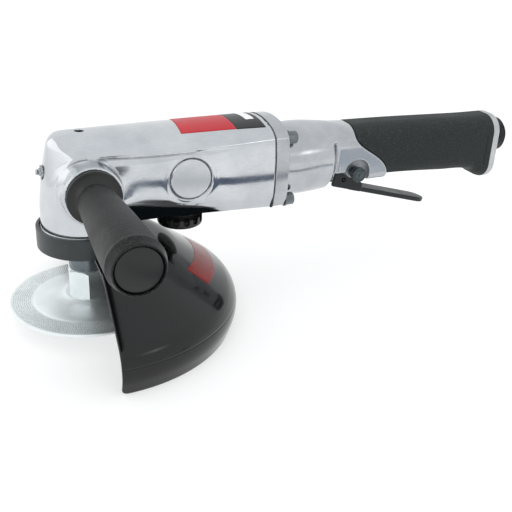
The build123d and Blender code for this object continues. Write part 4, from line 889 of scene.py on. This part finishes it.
def wheel_flange():
    """Disc of the wheel flange with its hub, from the bore's foot round to the bore's head."""
    count = 1152
    angles = np.linspace(0, 2 * np.pi, count, endpoint=False)
    rows = [(BORE, 0.0), (20, 0.0), (40, 0.0), (52.2, 0.0), (52.7, 0.15), (53.0, 0.6)]
    rows += [(53.0, 1.9), (52.85, 2.3), (52.5, RIM_TOP)]
    rows += [(r, RIM_TOP) for r in np.arange(52.1, 38.2, -0.3)]
    rows += curve((38.2, RIM_TOP), (37.6, RIM_TOP), (36.8, 3.0), steps=5)
    rows += [(32, 3.5), (27, 4.15), (22.5, 4.75)]
    rows += curve((22.5, 4.75), (18.4, 5.3), (16.0, 6.9), steps=8) + [(15.2, 7.15)]
    hub = []
    turn = (angles - math.radians(HUB_TURN)) % (np.pi / 3) - np.pi / 6
    hexagon = HEX_HALF / np.cos(turn)
    for z in (7.2, 8.5, 16, 22):
        hub.append((hexagon, np.full(count, z)))
    for cone in (14.72, 14.5, 14.2, 13.8, 13.3, 12.75, 12.2):
        high = HUB_TOP - (cone - 12.0) * 0.6
        hub.append((np.minimum(hexagon, cone), np.where(hexagon > cone, high, np.minimum(high, HUB_TOP))))
    hub += [(np.full(count, 12.0), np.full(count, HUB_TOP)), (np.full(count, BORE), np.full(count, HUB_TOP))]
    points = []
    hollows = []
    for r, z in rows:
        dip = stipple(np.full(count, r), angles) if z == RIM_TOP else 0 * angles
        # Painted shade in each dimple, from its depth through the edges attribute
        hollows.append(-2.6 * dip)
        points.append(np.stack([r * np.cos(angles), r * np.sin(angles), z - dip], axis=1))
    for r, z in hub:
        points.append(np.stack([r * np.cos(angles), r * np.sin(angles), z], axis=1))
    hollows = np.concatenate(hollows + [np.zeros(count)] * len(hub))
    return np.concatenate(points), grid_quads(len(points), count, True), hollows


points, faces, hollows = wheel_flange()
flange = piece("wheel_flange_disc", points, faces, "spindle_set", "zinc_plate", ["wheel_flange"],
               edges=hollows)
flange.data.set_sharp_from_angle(angle=math.radians(28))


# Plain coloured panels without any print

def drop(x, y):
    """Height of the housing's roof above points in plan."""
    z = np.full_like(x, AXIS + 31.0)
    for _ in range(30):
        z = z - np.clip(housing(x, y, z), -1, 1)
    return z


def patch(corners, rows, columns):
    """Grid between four corners in a plane, with its rows counted from the first corner to the second."""
    a, b, c, d = np.asarray(corners, float)
    u, v = np.meshgrid(np.linspace(0, 1, rows), np.linspace(0, 1, columns), indexing="ij")
    u, v = u[..., None], v[..., None]
    place = (1 - v) * ((1 - u) * a + u * b) + v * ((1 - u) * d + u * c)
    return place[..., 0], place[..., 1]


def closed_panel(name, layers, body, finish, slot):
    """Thin closed panel between an upper and a lower grid of points."""
    rows, columns = layers[0].shape[:2]
    upper, lower = (layer.reshape(-1, 3) for layer in layers)
    faces = grid_quads(rows, columns, False)
    a, b, c = (upper[faces[0][k]] for k in range(3))
    if np.cross(b - a, c - a) @ (upper[0] - lower[0]) < 0:
        faces = [tuple(reversed(f)) for f in faces]
    shift = rows * columns
    rim = list(range(columns)) + [k * columns + columns - 1 for k in range(1, rows)]
    rim += [(rows - 1) * columns + k for k in range(columns - 2, -1, -1)]
    rim += [k * columns for k in range(rows - 2, 0, -1)]
    sides = [(a, a + shift, b + shift, b) for a, b in zip(rim, rim[1:] + rim[:1])]
    if faces[0][1] != 1:
        sides = [tuple(reversed(f)) for f in sides]
    faces = faces + [tuple(v + shift for v in reversed(f)) for f in faces] + sides
    return piece(name, np.concatenate([upper, lower]), faces, body, slot, finish=finish)


def roof_panel(name, corners, finish, lift):
    """Thin panel on the roof, with its corners in plan."""
    x, y = patch(corners, 34, 34)
    z = drop(x, y)
    layers = [np.stack([x, y, z + shift], axis=-1) for shift in (lift, -PANEL_SINK)]
    closed_panel(name, layers, "tool", finish, "polished_aluminium")


roof_panel("roof_panel_red", ((65, 20.5), (100.5, 21), (100, -17.5), (62, -17)), "red_print", 0.12)
roof_panel("roof_panel_black", ((100.7, 21), (121, 21.3), (121, -18.8), (100.2, -17.8)), "black_print", 0.12)
roof_panel("roof_panel_white", ((111.8, 20.8), (117.8, 20.8), (117.8, -5), (111.8, -5)), "white_print", 0.2)


def guard_panel(name, finish, corners, lift):
    """Thin panel on the guard's shoulder, with its corners at lengths along the profile and angles."""
    s, turn = patch(corners, 40, 24)
    c, d = np.cos(np.radians(turn)), np.sin(np.radians(turn))
    layers = []
    for depth in (-lift, PANEL_SINK):
        line, at = even(guard_line(depth), 1.0)
        r, z = (np.interp(s / GUARD_LENGTH, at / at[-1], line[:, k]) for k in range(2))
        layers.append(np.stack([c * r, d * r, z], axis=-1))
    return closed_panel(name, layers, "guard", finish, "black_gloss_paint")


# Red panel on the guard, in its red print darkened with painted shade
panel = guard_panel("guard_panel_red", "shaded_red_print", ((50, 12), (44.5, -36), (62, -34.7), (67, 8)), 0.12)
panel.visible_glossy = False

# Studio: pale floor, soft lights and the camera of the photograph

scene = bpy.context.scene
scene.view_settings.view_transform = "Standard"
floor_z = cad_box[0][2]


def plain_mesh(name, points, faces, material):
    """Mesh that belongs to the studio and not to the tool."""
    mesh = bpy.data.meshes.new(name)
    mesh.from_pydata(points, [], faces)
    thing = bpy.data.objects.new(name, mesh)
    mesh.materials.append(material)
    scene.collection.objects.link(thing)
    return thing


def blank_material(name):
    """Material with nothing but its output node, its node tree, and the output's surface socket."""
    material = bpy.data.materials.new(name)
    material.use_nodes = True
    tree = material.node_tree
    tree.nodes.clear()
    return material, tree, add_node(tree, "OutputMaterial").inputs["Surface"]


FLOOR_GREY, FLOOR_GLOW = (0.5, 0.5, 0.5, 1), 0.54


def floor_material():
    """White floor that stays white to the camera and in reflections, and takes shadows."""
    material, tree, surface = blank_material("studio_floor")
    diffuse = add_node(tree, "BsdfDiffuse", {"Color": FLOOR_GREY})
    glow = add_node(tree, "Emission")
    path = add_node(tree, "LightPath").outputs
    seen = add_node(tree, "Math", operation="MAXIMUM")
    also = add_node(tree, "Math", operation="MAXIMUM")
    level = add_node(tree, "Math", {1: FLOOR_GLOW}, operation="MULTIPLY")
    both = add_node(tree, "AddShader")
    link = tree.links.new
    link(path["Is Camera Ray"], seen.inputs[0])
    link(path["Is Glossy Ray"], seen.inputs[1])
    link(seen.outputs[0], also.inputs[0])
    link(path["Is Transmission Ray"], also.inputs[1])
    link(also.outputs[0], level.inputs[0])
    link(level.outputs[0], glow.inputs["Strength"])
    link(diffuse.outputs[0], both.inputs[0])
    link(glow.outputs[0], both.inputs[1])
    link(both.outputs[0], surface)
    return material


FLOOR_RADIUS, FLOOR_SIDES = 7, 64
turns = [2 * math.pi * k / FLOOR_SIDES for k in range(FLOOR_SIDES)]
ring = [(0.1 + FLOOR_RADIUS * math.cos(t), FLOOR_RADIUS * math.sin(t), floor_z) for t in turns]
plain_mesh("studio_floor", ring, [tuple(range(FLOOR_SIDES))], floor_material())


def mix_surface(tree, mask, first, second):
    """Surface of one shader node where the mask is 0 and of another where it is 1."""
    mix = add_node(tree, "MixShader")
    tree.links.new(mask, mix.inputs["Fac"])
    tree.links.new(first.outputs[0], mix.inputs[1])
    tree.links.new(second.outputs[0], mix.inputs[2])
    tree.links.new(mix.outputs[0], tree.nodes["Material Output"].inputs["Surface"])


def card(name, corners, colour, one_sided=False):
    """Card that only reflections see, such as the grey gap between two soft boxes."""
    material, tree, surface = blank_material(name)
    glow = add_node(tree, "Emission", {"Color": colour, "Strength": 1.0})
    tree.links.new(glow.outputs[0], surface)
    if one_sided:
        back = add_node(tree, "NewGeometry").outputs["Backfacing"]
        mix_surface(tree, back, glow, add_node(tree, "BsdfTransparent"))
    half = len(corners) // 2
    strips = [(k, k + 1, half + k + 1, half + k) for k in range(half - 1)]
    thing = plain_mesh(name, corners, strips, material)
    thing.visible_camera = False
    thing.visible_diffuse = False
    thing.visible_shadow = False
    thing.visible_transmission = False
    return thing


WHITE = (1, 1, 1, 1)
CARD_LIFT = 0.004
GAP_FAR = (
    (-60, -640), (0, -520), (33, -427), (49, -368), (69, -323), (106, -283), (150, -258), (190, -256),
    (235, -276), (290, -296), (350, -310),
)
GAP_NEAR = (
    (-60, -540), (0, -420), (45, -315), (56, -270), (70, -238), (91, -214), (137, -197), (175, -198),
    (205, -212), (255, -230), (330, -250),
)
gap = [(x * MM, y * MM, floor_z + CARD_LIFT) for x, y in GAP_FAR + GAP_NEAR]
card("studio_gap", gap, tone(92, 103, 120))

rear_gap = ((345, -335), (445, -380), (340, -218), (405, -218))
rear_gap = [(x * MM, y * MM, floor_z + CARD_LIFT) for x, y in rear_gap]
card("studio_rear_gap", rear_gap, tone(176, 188, 201))

# Left card, brighter above its foot
LEFT_CARD_FADE, LEFT_CARD_LEVELS = 0.45, (1.0, 1.55)
left_corners = [(-0.45, y, z) for z in (0.52, floor_z) for y in (0.9, -0.62)]
left_card = card("studio_left_card", left_corners, WHITE)
tree = left_card.data.materials[0].node_tree
link = tree.links.new
heights = add_node(tree, "SeparateXYZ")
rise = map_range(tree, 0.0, LEFT_CARD_FADE, *LEFT_CARD_LEVELS, interpolation_type="SMOOTHSTEP")
link(add_node(tree, "TexCoord").outputs["Generated"], heights.inputs[0])
link(heights.outputs["Z"], rise.inputs["Value"])
link(rise.outputs["Result"], tree.nodes["Emission"].inputs["Strength"])

# Dark card under the barrel, seen from above only by reflections, that paints shade into the reflections of
# the barrel's underside
FLAG_Z = 0.056
flag_edge = ((22, 44), (36, 40), (50, 33), (62, 29), (75, 25), (87, 22), (98, 17))
flag = [(x * MM, side * y * MM, FLAG_Z) for side in (-1, 1) for x, y in flag_edge]
card("studio_flag", flag, tone(16, 20, 22), True)

# Soft box at the right front, brightest in its middle and clear at its rim
SOFT_BOX_LEVEL = 4.0
box_corners = [(x, y, z) for z in (0.90, 0.35) for x, y in ((-0.10, -1.50), (1.45, -0.45))]
soft_box = card("studio_soft_box", box_corners, WHITE)
tree = soft_box.data.materials[0].node_tree
link = tree.links.new
middle = add_node(tree, "Mapping", {"Location": (-1, -1, -1), "Scale": (2, 2, 2)})
fade = add_node(tree, "TexGradient", gradient_type="QUADRATIC_SPHERE")
level = add_node(tree, "Math", {1: SOFT_BOX_LEVEL}, operation="MULTIPLY")
link(add_node(tree, "TexCoord").outputs["Generated"], middle.inputs["Vector"])
link(middle.outputs["Vector"], fade.inputs["Vector"])
link(fade.outputs["Fac"], level.inputs[0])
link(level.outputs[0], tree.nodes["Emission"].inputs["Strength"])
mix_surface(tree, fade.outputs["Fac"], add_node(tree, "BsdfTransparent"), tree.nodes["Emission"])

# World, near white all round
world = bpy.data.worlds.new("studio_world")
scene.world = world
world.use_nodes = True
tree = world.node_tree
link = tree.links.new
sky = tree.nodes["Background"]
split = add_node(tree, "SeparateXYZ")
ramp_node = add_node(tree, "ValToRGB")
link(add_node(tree, "TexCoord").outputs["Generated"], split.inputs[0])
link(split.outputs["Z"], ramp_node.inputs["Fac"])
link(ramp_node.outputs["Color"], sky.inputs["Color"])
stops = ramp_node.color_ramp.elements
stops[0].position, stops[0].color = 0.0, (0.99, 1.0, 1.0, 1)
stops[1].position, stops[1].color = 1.0, (0.96, 0.98, 1.0, 1)
for place, level in ((0.1, 0.98), (0.3, 0.97), (0.55, 0.97), (0.8, 0.98)):
    stop = stops.new(place)
    stop.color = (level * 0.98, level, level * 1.01, 1)
sky.inputs["Strength"].default_value = 1.0


LAMP_SPREAD = 60


def soft_light(name, towards, power):
    """Broad soft sun from a direction, which reflections don't show."""
    data = bpy.data.lights.new(name, "SUN")
    data.angle = math.radians(LAMP_SPREAD)
    data.energy = power
    lamp = bpy.data.objects.new(name, data)
    lamp.rotation_euler = (-Vector(towards)).to_track_quat("-Z", "Y").to_euler()
    lamp.visible_glossy = False
    scene.collection.objects.link(lamp)


soft_light("key_light", (-0.1, -0.4, 1.0), 0.5)
soft_light("rim_light", (-0.75, 0.35, 0.7), 0.15)

# Camera fitted to the photograph, by its own axes and place
lens = bpy.data.cameras.new("photo_camera")
lens.lens = 54.35
lens.sensor_width = 36.0
lens.clip_start = 0.01
eye = bpy.data.objects.new("photo_camera", lens)
right = Vector((0.9192, -0.3918, 0.0391))
up = Vector((0.139, 0.4158, 0.8988))
back = Vector((-0.3685, -0.8207, 0.4366))
pose = Matrix((right, up, back)).transposed().to_4x4()
pose.translation = Vector((-0.0879, -0.4767, 0.2667))
eye.matrix_world = pose
scene.collection.objects.link(eye)
scene.camera = eye
